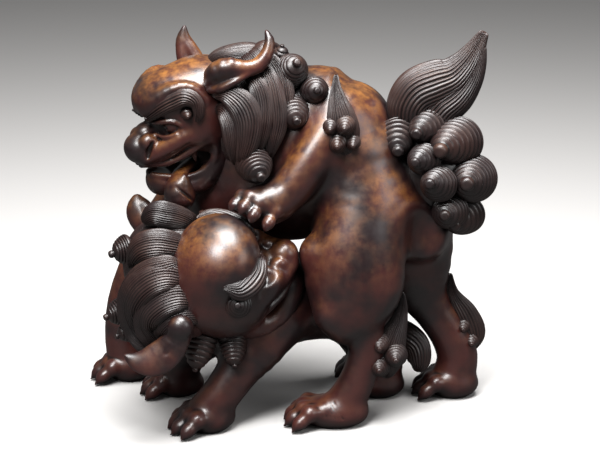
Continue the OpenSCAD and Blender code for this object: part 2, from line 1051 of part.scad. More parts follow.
module cub_brow_left() {
  color(clay) set_down() cub_frame() brow(1);
}

module cub_brow_right() {
  color(clay) set_down() cub_frame() brow(-1);
}

cub_ear_right_path = [
  [-78, -70, 106, 0.28, 0.26],
  [-91, -83, 106, 0.5, 0.32],
  [-109, -88, 95, 0.52, 0.28],
  [-126, -88, 85, 0.42, 0.24],
  [-140, -86, 79, 0.28, 0.18],
  [-148, -84, 78, 0.08, 0.08],
];
cub_ear_left_path = [
  [-112, -20, 152, 0.22, 0.18],
  [-124, -10, 166, 0.36, 0.2],
  [-134, -4, 178, 0.36, 0.18],
  [-140, 0, 187, 0.24, 0.14],
  [-142, 2, 194, 0.08, 0.08],
];

module cub_ear_right() {
  color(clay_light) set_down() difference() {
    ear(cub_ear_right_path, cub_ear_w, [0, 1, 0], [0.1, -0.1, 0.42]);
    cub_skull();
    cub_mane_form();
    cub_lock(cub_lock_low_path);
  }
}

module cub_ear_left() {
  color(clay_dark) set_down() difference() {
    ear(cub_ear_left_path, cub_ear_w, [0, 1, 0], [0.3, -0.1, 0.2]);
    cub_skull();
    cub_mane_form();
    cub_lock(cub_lock_top_path);
    cub_lock(cub_lock_middle_path);
  }
}

// Tress that hangs behind the low lock, one lump with the mane
cub_tress_path = [
  [-100, -80, 159, 0.4, 0.6],
  [-110, -82, 157, 0.66, 0.82],
  [-124, -80, 152, 0.74, 0.94],
  [-136, -76, 141, 0.74, 0.94],
  [-145, -70, 124, 0.64, 0.82],
  [-147, -64, 105, 0.46, 0.7],
  [-143, -58, 85, 0.21, 0.35],
];

module cub_mane_form() {
  blob(cub_mane_at, cub_mane_r);
  cub_lock(cub_tress_path);
}

module cub_mane() {
  color(clay) set_down() difference() {
    cub_mane_form();
    cub_skull();
    cub_frame() cheek(1);
    cub_frame() cheek(-1);
    cub_frame() brow_form();
    cub_torso_form();
  }
}

cub_lock_top_path = [
  [-91, -44, 187, 0.45, 0.7],
  [-102, -50, 192, 0.8, 0.95],
  [-114, -52, 192, 0.93, 1.05],
  [-124, -50, 187, 0.86, 1.05],
  [-130, -46, 177, 0.43, 0.7],
];
cub_lock_middle_path = [
  [-96, -64, 176, 0.45, 0.7],
  [-107, -68, 177, 0.72, 0.95],
  [-121, -69, 174, 0.93, 1.05],
  [-132, -66, 166, 0.93, 1.05],
  [-139, -60, 154, 0.55, 0.8],
  [-139, -54, 143, 0.3, 0.5],
];
cub_lock_low_path = [
  [-84, -88, 130, 0.7, 0.6],
  [-93, -90, 135, 1.1, 0.8],
  [-104, -90, 138, 1.25, 0.94],
  [-115, -88, 132, 1.25, 0.94],
  [-124, -83, 119, 1.1, 0.94],
  [-128, -78, 104, 0.8, 0.8],
  [-122, -74, 90, 0.36, 0.47],
];

module cub_lock(path) {
  loft(lock(path, cub_lock_w), unit([-0.4, -0.8, 0.4]), 10, 9);
}

module cub_lock_seat() {
  cub_mane_form();
  cub_skull();
  cub_torso_form();
}

module cub_lock_top() {
  color(clay) set_down() difference() {
    cub_lock(cub_lock_top_path);
    cub_lock_seat();
    cub_lock(cub_lock_middle_path);
  }
}

module cub_lock_middle() {
  color(clay) set_down() difference() {
    cub_lock(cub_lock_middle_path);
    cub_lock_seat();
    cub_lock(cub_lock_low_path);
  }
}

module cub_lock_low() {
  color(clay) set_down() difference() {
    cub_lock(cub_lock_low_path);
    cub_lock_seat();
  }
}

module cub_curl_form(i) {
  c = cub_curls[i];
  point_to(c[0], c[1]) curl(c[2] * cub_curl_d, c[3]);
}

module cub_mane_curl(i) {
  color(clay) set_down() difference() {
    cub_curl_form(i);
    cub_lock_seat();
    cub_lock(cub_lock_top_path);
    cub_lock(cub_lock_middle_path);
    cub_lock(cub_lock_low_path);
    cub_leg_form(cub_fore_left_path);
  }
}

lion_torso();
lion_leg_hind_left();
lion_leg_hind_right();
lion_leg_fore_left();
lion_leg_fore_right();
lion_head();
lion_jaw();
lion_tongue();
lion_brow_left();
lion_brow_right();
lion_ear_left();
lion_ear_right();
lion_mane();
lion_crest();
lion_lock_front_left();
lion_lock_back_left();
lion_lock_front_right();
lion_lock_back_right();
for (i = [0:len(mane_curls) - 1]) {
  lion_mane_curl(i);
}
lion_shoulder_tuft_left();
lion_shoulder_tuft_right();
lion_hock_tuft_left();
lion_hock_tuft_right();
lion_tail_root();
lion_tail_plume();
for (i = [0:len(tail_curls) - 1]) {
  lion_tail_curl(i);
}
cub_torso();
cub_leg_fore_left();
cub_leg_fore_right();
cub_leg_hind_left();
cub_leg_hind_right();
cub_tail();
cub_head();
cub_jaw();
cub_brow_left();
cub_brow_right();
cub_ear_left();
cub_ear_right();
cub_mane();
cub_lock_top();
cub_lock_middle();
cub_lock_low();
for (i = [0:len(cub_curls) - 1]) {
  cub_mane_curl(i);
}
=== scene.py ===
"""Dressed model of a stoneware ornament: a guardian lion standing over its cub.

Modelling is in millimetres, in the frame of the clay (+X to the tail, +Y away from the viewer, +Z up).
Smooth skin is built up as clay is: lumps are added and scooped in a distance field, which blends them as a
wet finger does, and the field is cut into one closed piece per limb. Hair is combed over swept grids, and
curls are wound.
"""

import logging
import math
from dataclasses import dataclass
from enum import Enum
from functools import partial, reduce
from typing import Iterable, Iterator, Sequence

import bmesh
import bpy
import numpy as np
import openvdb
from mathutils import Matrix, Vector


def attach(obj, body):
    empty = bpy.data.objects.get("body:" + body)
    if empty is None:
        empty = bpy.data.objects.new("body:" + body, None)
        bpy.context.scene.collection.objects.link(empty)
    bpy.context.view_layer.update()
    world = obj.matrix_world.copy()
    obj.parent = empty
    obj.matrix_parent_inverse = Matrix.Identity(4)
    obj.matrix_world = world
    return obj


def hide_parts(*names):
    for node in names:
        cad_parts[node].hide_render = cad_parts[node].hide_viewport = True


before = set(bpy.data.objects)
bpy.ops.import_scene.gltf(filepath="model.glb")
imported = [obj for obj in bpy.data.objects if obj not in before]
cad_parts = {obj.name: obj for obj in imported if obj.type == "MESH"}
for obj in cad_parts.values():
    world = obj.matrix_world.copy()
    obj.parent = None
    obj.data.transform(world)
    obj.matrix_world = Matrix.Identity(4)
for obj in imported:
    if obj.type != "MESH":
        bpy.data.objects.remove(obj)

log = logging.getLogger("lion")

Vec = Sequence[float]
Rows = Sequence[Vec]
Mesh = tuple[np.ndarray, np.ndarray]
Window = tuple[slice, slice, slice]
Socket = bpy.types.NodeSocket

MM = 0.001
MIDDLE = np.array([-15.7, -3.54, 0.0])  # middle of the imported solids, in the frame of the clay
UP = (0.0, 0.0, 1.0)
DEEP = (0.0, 1.0, 0.0)
NEAR = (0.0, -1.0, 0.0)
FAR = 60.0  # distance where a grid holds no clay yet
SHELL = 4  # cells of distance kept on either side of a skin
SEAM_DIVE = (0.1, 0.05)  # how fast a skin dives under its neighbour's, straight and squared
SEAM_DEPTH = 5.0
RIDGE_STEPS = 6  # grid steps round one combed ridge
HEAD_SIZE = 88.0  # size that heads are modelled at


class Slot(Enum):
    """Material slots of the pieces."""

    SKIN = "stoneware_skin"
    HAIR = "stoneware_hair"


class Work(Enum):
    """Way a piece is worked: the ending of its name, and its slot."""

    SKIN = ("skin", Slot.SKIN)
    HIDDEN = ("skin", Slot.HAIR)
    COMBED = ("combed", Slot.HAIR)
    WOUND = ("wound", Slot.HAIR)


class Side(Enum):
    """Left or right of an animal, as a sign on its own left axis."""

    LEFT = 1.0
    RIGHT = -1.0


class Mouth(Enum):
    """The parent snarls over the cub, whose mouth is shut."""

    SNARLING = "snarling"
    SHUT = "shut"


def unit(v: Vec) -> np.ndarray:
    """Returns v at length one."""
    a = np.asarray(v, float)
    return a / np.linalg.norm(a)


def smoothstep(x: np.ndarray) -> np.ndarray:
    """Eases 0 to 1, flat at both ends."""
    t = np.clip(x, 0.0, 1.0)
    return t * t * (3.0 - 2.0 * t)


def linear(code: str) -> tuple[float, float, float, float]:
    """sRGB hex to linear colour."""
    parts = [int(code[k : k + 2], 16) / 255 for k in (1, 3, 5)]
    return (*[c / 12.92 if c <= 0.04045 else ((c + 0.055) / 1.055) ** 2.4 for c in parts], 1.0)


def mirrored(points: Iterable[Vec], side: Side) -> list[tuple[float, ...]]:
    """Stations to the left of a head's middle plane, flipped to the side wanted."""
    return [(p[0], p[1] * side.value, *p[2:]) for p in points]


def scaled(path: Rows, width: float, thickness: float) -> list[tuple[float, ...]]:
    """Stations whose last two numbers are shares of a width and of a thickness."""
    return [(x, y, z, a * width, b * thickness) for x, y, z, a, b in path]


def leg(path: Rows, narrow: Vec, wide: Vec, least: float = 4.0) -> list[tuple[float, ...]]:
    """Turns a path of [x, y, z, share] into stations between a narrow and a wide section.

    Args:
        path: places, and the share of the wide section.
        narrow: width and thickness at share 0.
        wide: width and thickness at share 1.
        least: smallest width.

    Returns:
        Stations with half sizes.
    """
    ends = list(zip(narrow, wide))
    return [(x, y, z, *[max(n * (1 - s) + w * s, least) / 2 for n, w in ends]) for x, y, z, s in path]


def sweep(stations: Rows, s: np.ndarray) -> np.ndarray:
    """Samples a smooth curve through evenly spaced stations.

    Args:
        stations: rows of any width, the place in the first three columns.
        s: positions along the curve, 0 to 1.

    Returns:
        One row per position.
    """
    st = np.asarray(stations, float)
    last = len(st) - 1
    i = np.minimum((s * last).astype(int), last - 1)
    t = (s * last - i)[:, None]
    a, b, c, d = st[np.maximum(i - 1, 0)], st[i], st[i + 1], st[np.minimum(i + 2, last)]
    cubic = (3 * b - a - 3 * c + d) * t**3
    return 0.5 * (2 * b + (c - a) * t + (2 * a - 5 * b + 4 * c - d) * t**2 + cubic)


def axes_along(places: np.ndarray, lean: Vec) -> tuple[np.ndarray, np.ndarray]:
    """Finds the side and top directions along a swept path.

    Args:
        places: points of the path in order.
        lean: direction that the top leans towards.

    Returns:
        Two arrays of unit directions.
    """
    heading = np.gradient(places, axis=0)
    heading /= np.linalg.norm(heading, axis=1)[:, None]
    across = np.cross(np.broadcast_to(np.asarray(lean, float), heading.shape), heading)
    across /= np.linalg.norm(across, axis=1)[:, None]
    return across, np.cross(heading, across)


def soft_min(a: np.ndarray, b: np.ndarray, blend: float) -> np.ndarray:
    """Smaller of two distances, with a fillet of about the blend's size where they meet."""
    h = np.clip(blend - np.abs(a - b), 0.0, None) / blend
    return np.minimum(a, b) - h * h * blend * 0.25


@dataclass(frozen=True)
class Ball:
    """Ellipsoid lump; turn holds its own axes as rows."""

    at: Vec
    radii: Vec
    turn: Rows | None = None

    def parts(self) -> list["Ball"]:
        """A ball is one lump."""
        return [self]

    def box(self) -> tuple[np.ndarray, np.ndarray]:
        """Lowest and highest corners."""
        reach = np.asarray(self.radii, float) if self.turn is None else np.full(3, max(self.radii))
        return np.asarray(self.at) - reach, np.asarray(self.at) + reach

    def distance(self, p: list[np.ndarray]) -> np.ndarray:
        """Signed distance, exact near the skin."""
        q = [p[k] - self.at[k] for k in range(3)]
        if self.turn is not None:
            q = [sum(row[k] * q[k] for k in range(3)) for row in self.turn]
        near = np.sqrt(sum((q[k] / self.radii[k]) ** 2 for k in range(3)))
        slope = np.sqrt(sum((q[k] / self.radii[k] ** 2) ** 2 for k in range(3)))
        return near * (near - 1.0) / np.maximum(slope, 1e-6)


@dataclass(frozen=True)
class Taper:
    """Short elliptical stretch of a limb between two stations."""

    a: np.ndarray
    b: np.ndarray
    across: np.ndarray
    top: np.ndarray

    def box(self) -> tuple[np.ndarray, np.ndarray]:
        """Lowest and highest corners."""
        reach = max(self.a[3:].max(), self.b[3:].max())
        return np.minimum(self.a, self.b)[:3] - reach, np.maximum(self.a, self.b)[:3] + reach

    def distance(self, p: list[np.ndarray]) -> np.ndarray:
        """Signed distance, near enough for blending."""
        run = (self.b - self.a)[:3]
        length = np.linalg.norm(run)
        q = [p[k] - self.a[k] for k in range(3)]
        t = np.clip(sum(q[k] * run[k] for k in range(3)) / length**2, 0.0, 1.0)
        q = [q[k] - t * run[k] for k in range(3)]
        wide = self.a[3] + t * (self.b[3] - self.a[3])
        thick = self.a[4] + t * (self.b[4] - self.a[4])
        least = np.minimum(wide, thick)
        off = [sum(q[k] * axis[k] for k in range(3)) for axis in (self.across, self.top, run / length)]
        near = np.sqrt((off[0] / wide) ** 2 + (off[1] / thick) ** 2 + (off[2] / least) ** 2)
        return (near - 1.0) * least


@dataclass(frozen=True)
class Limb:
    """Swept limb through stations of [x, y, z, half width, half thickness], or of [x, y, z, radius]."""

    stations: Rows
    lean: Vec = DEEP
    stretches: int = 14
    least: float = 0.3

    def parts(self) -> list[Taper]:
        """Cuts the limb into short stretches."""
        rows = [tuple(s) if len(s) == 5 else (*s, s[3]) for s in self.stations]
        path = sweep(rows, np.linspace(0.0, 1.0, self.stretches + 1))
        path[:, 3:] = np.maximum(path[:, 3:], self.least)
        across, top = axes_along(path[:, :3], self.lean)
        return [Taper(path[k], path[k + 1], across[k], top[k]) for k in range(self.stretches)]

    def box(self) -> tuple[np.ndarray, np.ndarray]:
        """Lowest and highest corners."""
        boxes = [part.box() for part in self.parts()]
        return np.min([b[0] for b in boxes], axis=0), np.max([b[1] for b in boxes], axis=0)


Form = Ball | Limb


class Clay:
    """A body of clay as a distance field on a grid, shared by one or more named pieces."""

    def __init__(self, low: Vec, high: Vec, grain: float) -> None:
        """Lays out an empty grid.

        Args:
            low: lowest corner.
            high: highest corner.
            grain: grid step in millimetres.
        """
        self.low = np.asarray(low, float)
        self.grain = grain
        shape = np.ceil((np.asarray(high) - self.low) / self.grain).astype(int) + 1
        self.total = np.full(shape, FAR, np.float32)
        self.owners: dict[str, np.ndarray] = {}

    def _window(self, form: Form | Taper, margin: float) -> Window | None:
        """Grid cells that a form can change, or None."""
        low, high = form.box()
        first = np.floor((low - margin - self.low) / self.grain).astype(int)
        last = np.ceil((high + margin - self.low) / self.grain).astype(int) + 1
        first = np.clip(first, 0, self.total.shape)
        last = np.clip(last, 0, self.total.shape)
        if np.any(last <= first):
            return None
        return tuple(slice(int(f), int(n)) for f, n in zip(first, last))

    def _points(self, window: Window) -> list[np.ndarray]:
        """Coordinates of a window, one broadcast array per axis."""
        axes = [self.low[k] + self.grain * np.arange(window[k].start, window[k].stop) for k in range(3)]
        return list(np.ix_(*[axis.astype(np.float32) for axis in axes]))

    def _reached(self, blend: float, forms: Iterable[Form]) -> Iterator[tuple[Window, np.ndarray]]:
        """Windows of the grid that lumps reach, with the distances there.

        Args:
            blend: fillet in millimetres.
            forms: lumps in order.

        Yields:
            The window of each lump and its distance over it.
        """
        margin = blend + 3 * self.grain
        for form in forms:
            window = self._window(form, margin)
            if window is None:
                continue
            out = np.full(self.total[window].shape, FAR, np.float32)
            for part in form.parts():
                spot = self._window(part, margin)
                if spot is not None:
                    inner = tuple(slice(s.start - w.start, s.stop - w.start) for s, w in zip(spot, window))
                    out[inner] = np.minimum(out[inner], part.distance(self._points(spot)))
            yield window, out

    def add(self, owner: str, blend: float, *forms: Form) -> None:
        """Presses lumps on, each blended into what is there.

        Args:
            owner: piece that the lumps belong to.
            blend: fillet in millimetres.
            forms: lumps in order.
        """
        own = self.owners.setdefault(owner, np.full(self.total.shape, FAR, np.float32))
        for window, d in self._reached(blend, forms):
            self.total[window] = soft_min(self.total[window], d, blend)
            own[window] = np.minimum(own[window], d)

    def scoop(self, blend: float, *forms: Form) -> None:
        """Scoops lumps out.

        Args:
            blend: rounding of the rim in millimetres.
            forms: lumps to take away.
        """
        for window, d in self._reached(blend, forms):
            self.total[window] = -soft_min(-self.total[window], d, blend)

    def soften(self, rounds: int) -> None:
        """Wipes the skin so far with a wet sponge, which takes off the marks of the stretches."""
        for _ in range(rounds):
            for axis in range(3):
                f = np.swapaxes(self.total, 0, axis)
                f[1:-1] = 0.25 * f[:-2] + 0.5 * f[1:-1] + 0.25 * f[2:]

    def level(self, z: float) -> None:
        """Cuts the soles flat."""
        heights = self.low[2] + self.grain * np.arange(self.total.shape[2])
        self.total = np.maximum(self.total, (z - heights).astype(np.float32)[None, None, :])

    def piece(self, owner: str, rounds: int) -> Mesh:
        """Meshes one piece; past a seam its skin dives under its neighbour's.

        Args:
            owner: name of the piece.
            rounds: rounds of evening.

        Returns:
            Vertices in millimetres and quads, faces outwards.
        """
        own = self.owners[owner]
        others = [f for n, f in self.owners.items() if n != owner]
        body = self.total
        if others:
            beyond = 0.5 * (own - np.minimum.reduce(others))
            past = np.clip(beyond, 0.0, None)
            body = np.maximum(body + SEAM_DIVE[0] * past + SEAM_DIVE[1] * past**2, beyond - SEAM_DEPTH)
        rim = SHELL * self.grain
        grid = openvdb.FloatGrid(rim)
        padded = np.clip(np.pad(body, 1, constant_values=FAR), -rim, rim)
        grid.copyFromArray(np.ascontiguousarray(padded, np.float32))
        points, quads = grid.convertToQuads(isovalue=0.0)
        places = self.low + self.grain * (np.asarray(points, float) - 1.0)
        return relax(outward(places, np.asarray(quads, np.int64)), rounds)


def outward(places: np.ndarray, quads: np.ndarray) -> Mesh:
    """Turns a closed mesh so that its faces point out, by the sign of its volume."""
    a, b, c, d = (places[quads[:, k]] for k in range(4))
    volume = np.einsum("ij,ij->", np.cross(b - a, c - a), a) + np.einsum("ij,ij->", np.cross(c - a, d - a), a)
    return places, quads if volume > 0 else quads[:, ::-1]


def neighbour_mean(values: np.ndarray, edges: np.ndarray) -> np.ndarray:
    """Mean over each vertex's neighbours.

    Args:
        values: one row per vertex.
        edges: vertex pairs.

    Returns:
        Array shaped as values.
    """
    count = len(values)
    ends = np.concatenate([edges[:, 0], edges[:, 1]])
    others = np.concatenate([edges[:, 1], edges[:, 0]])
    degree = np.maximum(np.bincount(ends, minlength=count), 1)
    sums = [np.bincount(ends, weights=column[others], minlength=count) for column in values.T]
    return np.stack(sums, 1) / degree[:, None]


def quad_edges(quads: np.ndarray) -> np.ndarray:
    """Edges of a quad mesh, each once."""
    pairs = np.concatenate([quads[:, [k, (k + 1) % 4]] for k in range(4)])
    return np.unique(np.sort(pairs, axis=1), axis=0)


def relax(mesh: Mesh, rounds: int, steps: Vec = (0.5, -0.52)) -> Mesh:
    """Evens a mesh without shrinking it.

    Args:
        mesh: vertices and quads.
        rounds: how often the steps are taken.
        steps: shares of the way to the neighbours' mean, smoothing and then swelling.

    Returns:
        The evened mesh.
    """
    places, quads = mesh
    edges = quad_edges(quads)
    for _ in range(rounds):
        for step in steps:
            places = places + step * (neighbour_mean(places, edges) - places)
    return places, quads


def vertex_normals(mesh: Mesh) -> np.ndarray:
    """Unit normals at the vertices."""
    places, quads = mesh
    a, b, c, d = (places[quads[:, k]] for k in range(4))
    normal = np.cross(c - a, d - b)
    out = np.stack([np.bincount(quads.ravel(), np.repeat(normal[:, k], 4), len(places)) for k in range(3)], 1)
    return out / np.maximum(np.linalg.norm(out, axis=1), 1e-9)[:, None]


def incise(mesh: Mesh, path: Rows, width: float = 0.9, depth: float = 0.8) -> Mesh:
    """Draws a line into the skin with a tool.

    Args:
        mesh: vertices and quads.
        path: points on the skin that the line passes through.
        width: half width of the line in millimetres.
        depth: depth at its middle in millimetres.

    Returns:
        The marked mesh.
    """
    places, quads = mesh
    line = sweep(path, np.linspace(0.0, 1.0, 12 * len(path)))
    reach = 4 * width
    near = np.flatnonzero(np.all((places > line.min(0) - reach) & (places < line.max(0) + reach), axis=1))
    if len(near) == 0:
        return mesh
    gap = np.sqrt(((places[near, None, :] - line[None, :, :]) ** 2).sum(-1).min(1))
    places = places.copy()
    places[near] -= vertex_normals(mesh)[near] * (depth * np.exp(-((gap / width) ** 2)))[:, None]
    return places, quads


@dataclass(frozen=True)
class Lock:
    """Combed lock of hair: a swept grid with rounded ridges along it.

    Stations are [x, y, z, half width, half thickness]. Depth is that of the grooves, and blunt the share of
    the length over which an end closes.
    """

    stations: Rows
    lean: Vec
    ridges: int = 26
    depth: float = 1.2
    twist: float = 0.0
    along: int = 44
    blunt: float = 0.10
    least: float = 0.2

    def mesh(self) -> Mesh:
        """Bends a flat grid into the lock and combs it."""
        places, quads = flat_grid(self.ridges * RIDGE_STEPS, self.along)
        u, v = places[:, 0], places[:, 1]
        path = sweep(self.stations, np.linspace(0.0, 1.0, self.along + 1))
        across, top = axes_along(path[:, :3], self.lean)
        row = np.rint(v * self.along).astype(int)
        close = np.clip(np.minimum(v, 1.0 - v) / self.blunt, 0.0, 1.0)
        size = np.sqrt(1.0 - (1.0 - close) ** 2)
        wander = 0.25 * np.sin(4 * math.pi * u + 3.0 * v)
        phase = self.ridges * (u + self.twist * (v - 0.5)) + wander
        # Each fifth groove is deeper and parts two strands.
        strand = 0.75 + 0.6 * np.abs(np.cos(math.pi * phase / 5.0)) ** 6
        groove = (1.0 - np.abs(np.sin(math.pi * phase))) * strand
        half = path[row, 3:5]
        cut = np.minimum(self.depth * groove, 0.35 * half.min(1)) * smoothstep(close * 1.2)
        a = 2 * math.pi * u
        wide = np.maximum(half[:, 0] - cut, self.least) * size
        thick = np.maximum(half[:, 1] - cut, self.least) * size
        out = path[row, :3] + across[row] * (wide * np.cos(a))[:, None]
        return welded(out + top[row] * (thick * np.sin(a))[:, None], quads)


@dataclass(frozen=True)
class Snail:
    """Wound curl: rings shrink from a broad base to a smooth nub, which may sit off to one side.

    Nub and groove are shares of the radius; skirt and wound are the shares of the grid where the rings start,
    above a sunk foot, and end, under the nub.
    """

    base: Vec
    tip: Vec
    radius: float
    face: Vec | None = None
    turns: float = 7.0
    nub: float = 0.26
    groove: float = 0.16
    dome: float = 1.3
    skirt: float = 0.10
    wound: float = 0.78
    around: int = 52
    along: int = 86

    def mesh(self) -> Mesh:
        """Winds a flat grid into the curl."""
        places, quads = flat_grid(self.around, self.along)
        u, v = places[:, 0], places[:, 1]
        base, tip = np.asarray(self.base, float), np.asarray(self.tip, float)
        axis = unit(tip - base if self.face is None else self.face)
        across = unit(np.cross(axis, DEEP if abs(axis[1]) < 0.8 else UP))
        top = np.cross(axis, across)
        t = np.clip((v - self.skirt) / (self.wound - self.skirt), 0.0, 1.0)
        sunk = np.clip(1.0 - v / self.skirt, 0.0, 1.0)
        cap = np.clip((v - self.wound) / (1.0 - self.wound), 0.0, 1.0)
        nub = self.radius * self.nub
        r = nub + (self.radius - nub) * np.clip(1.0 - t**self.dome, 0.0, None) ** (1.0 / self.dome)
        ridge = np.abs(np.sin(math.pi * (self.turns * t + u)))
        depth = self.groove * (1.0 - ridge) ** 1.6 * smoothstep((1.0 - t) / 0.12) * smoothstep(t / 0.05)
        neck = 1.0 - 0.16 * np.exp(-(((v - self.wound) / 0.035) ** 2))
        r = r * (1.0 - depth) * neck
        for end in (cap, sunk):
            r = r * np.sqrt(np.clip(1.0 - end**2, 0.0, None))
        lift = 1.25 * nub * np.sin(0.5 * math.pi * cap) - 0.5 * self.radius * sunk
        a = 2 * math.pi * u
        out = base + (tip - base) * (t**1.1)[:, None] + axis * lift[:, None]
        out = out + across * (r * np.cos(a))[:, None] + top * (r * np.sin(a))[:, None]
        return welded(out, quads)


def flat_grid(around: int, along: int) -> Mesh:
    """Flat grid over the unit square.

    Args:
        around: quads in the first direction.
        along: quads in the second direction.

    Returns:
        Vertices, whose first two numbers run from 0 to 1, and quads.
    """
    bm = bmesh.new()
    bmesh.ops.create_grid(bm, x_segments=around, y_segments=along, size=0.5)
    places = np.array([v.co for v in bm.verts]) + 0.5
    quads = np.array([[v.index for v in f.verts] for f in bm.faces], np.int64)
    bm.free()
    return places, quads


def welded(places: np.ndarray, quads: np.ndarray) -> Mesh:
    """Joins the two edges of a rolled-up grid, and the points of its poles.

    Args:
        places: vertices, some of them in the same place.
        quads: faces; those that shrink to a line go.

    Returns:
        A closed mesh of quads, with pole triangles as quads of a doubled corner.
    """
    _, first, index = np.unique(np.round(places, 3), axis=0, return_index=True, return_inverse=True)
    faces = index.reshape(-1)[quads]
    flat = (faces[:, [0, 1, 2, 3]] == faces[:, [1, 2, 3, 0]]).sum(1) + (faces[:, 0] == faces[:, 2])
    return outward(places[first], faces[flat < 2])


def joined(*meshes: Mesh) -> Mesh:
    """Puts closed meshes side by side in one piece."""
    starts = np.cumsum([0] + [len(places) for places, _ in meshes])
    quads = [faces + start for (_, faces), start in zip(meshes, starts)]
    return np.concatenate([places for places, _ in meshes]), np.concatenate(quads)


def combed(paths: Iterable[Rows], lean: Vec, ridges: int, depth: float = 1.1) -> Mesh:
    """Locks side by side as one piece."""
    return joined(*[Lock(path, lean, ridges, depth).mesh() for path in paths])


@dataclass(frozen=True)
class Pose:
    """Place of a head or paw: its centre, the forward and left directions, and its scale."""

    at: Vec
    forward: Vec
    left: Vec
    scale: float = 1.0

    def matrix(self) -> np.ndarray:
        """Own axes as rows."""
        x = unit(self.forward)
        y = unit(np.asarray(self.left) - x * np.dot(self.left, x))
        return np.stack([x, y, np.cross(x, y)])

    def out(self, local: np.ndarray) -> np.ndarray:
        """Own coordinates to clay coordinates."""
        return np.asarray(self.at) + self.scale * np.asarray(local, float) @ self.matrix()

    def turn(self, direction: Vec) -> np.ndarray:
        """Own direction to a direction in the clay."""
        return np.asarray(direction, float) @ self.matrix()

    def place(self, mesh: Mesh) -> Mesh:
        """Mesh in own coordinates to clay coordinates."""
        return self.out(mesh[0]), mesh[1]


def add_node(
    tree: bpy.types.NodeTree, kind: str, links: dict[str, Socket] | None = None, **settings: object
) -> bpy.types.Node:
    """Adds a node with its settings and links.

    Args:
        tree: node tree that gets it.
        kind: type of the node.
        links: sources, by the number or the name of the input.
        settings: properties, and the inputs' own values as in_0 and so on.

    Returns:
        The node.
    """
    node = tree.nodes.new(kind)
    for key, value in settings.items():
        if key.startswith("in_"):
            node.inputs[int(key[3:])].default_value = value
        else:
            setattr(node, key, value)
    for socket, source in (links or {}).items():
        tree.links.new(source, node.inputs[int(socket) if socket.isdigit() else socket])
    return node


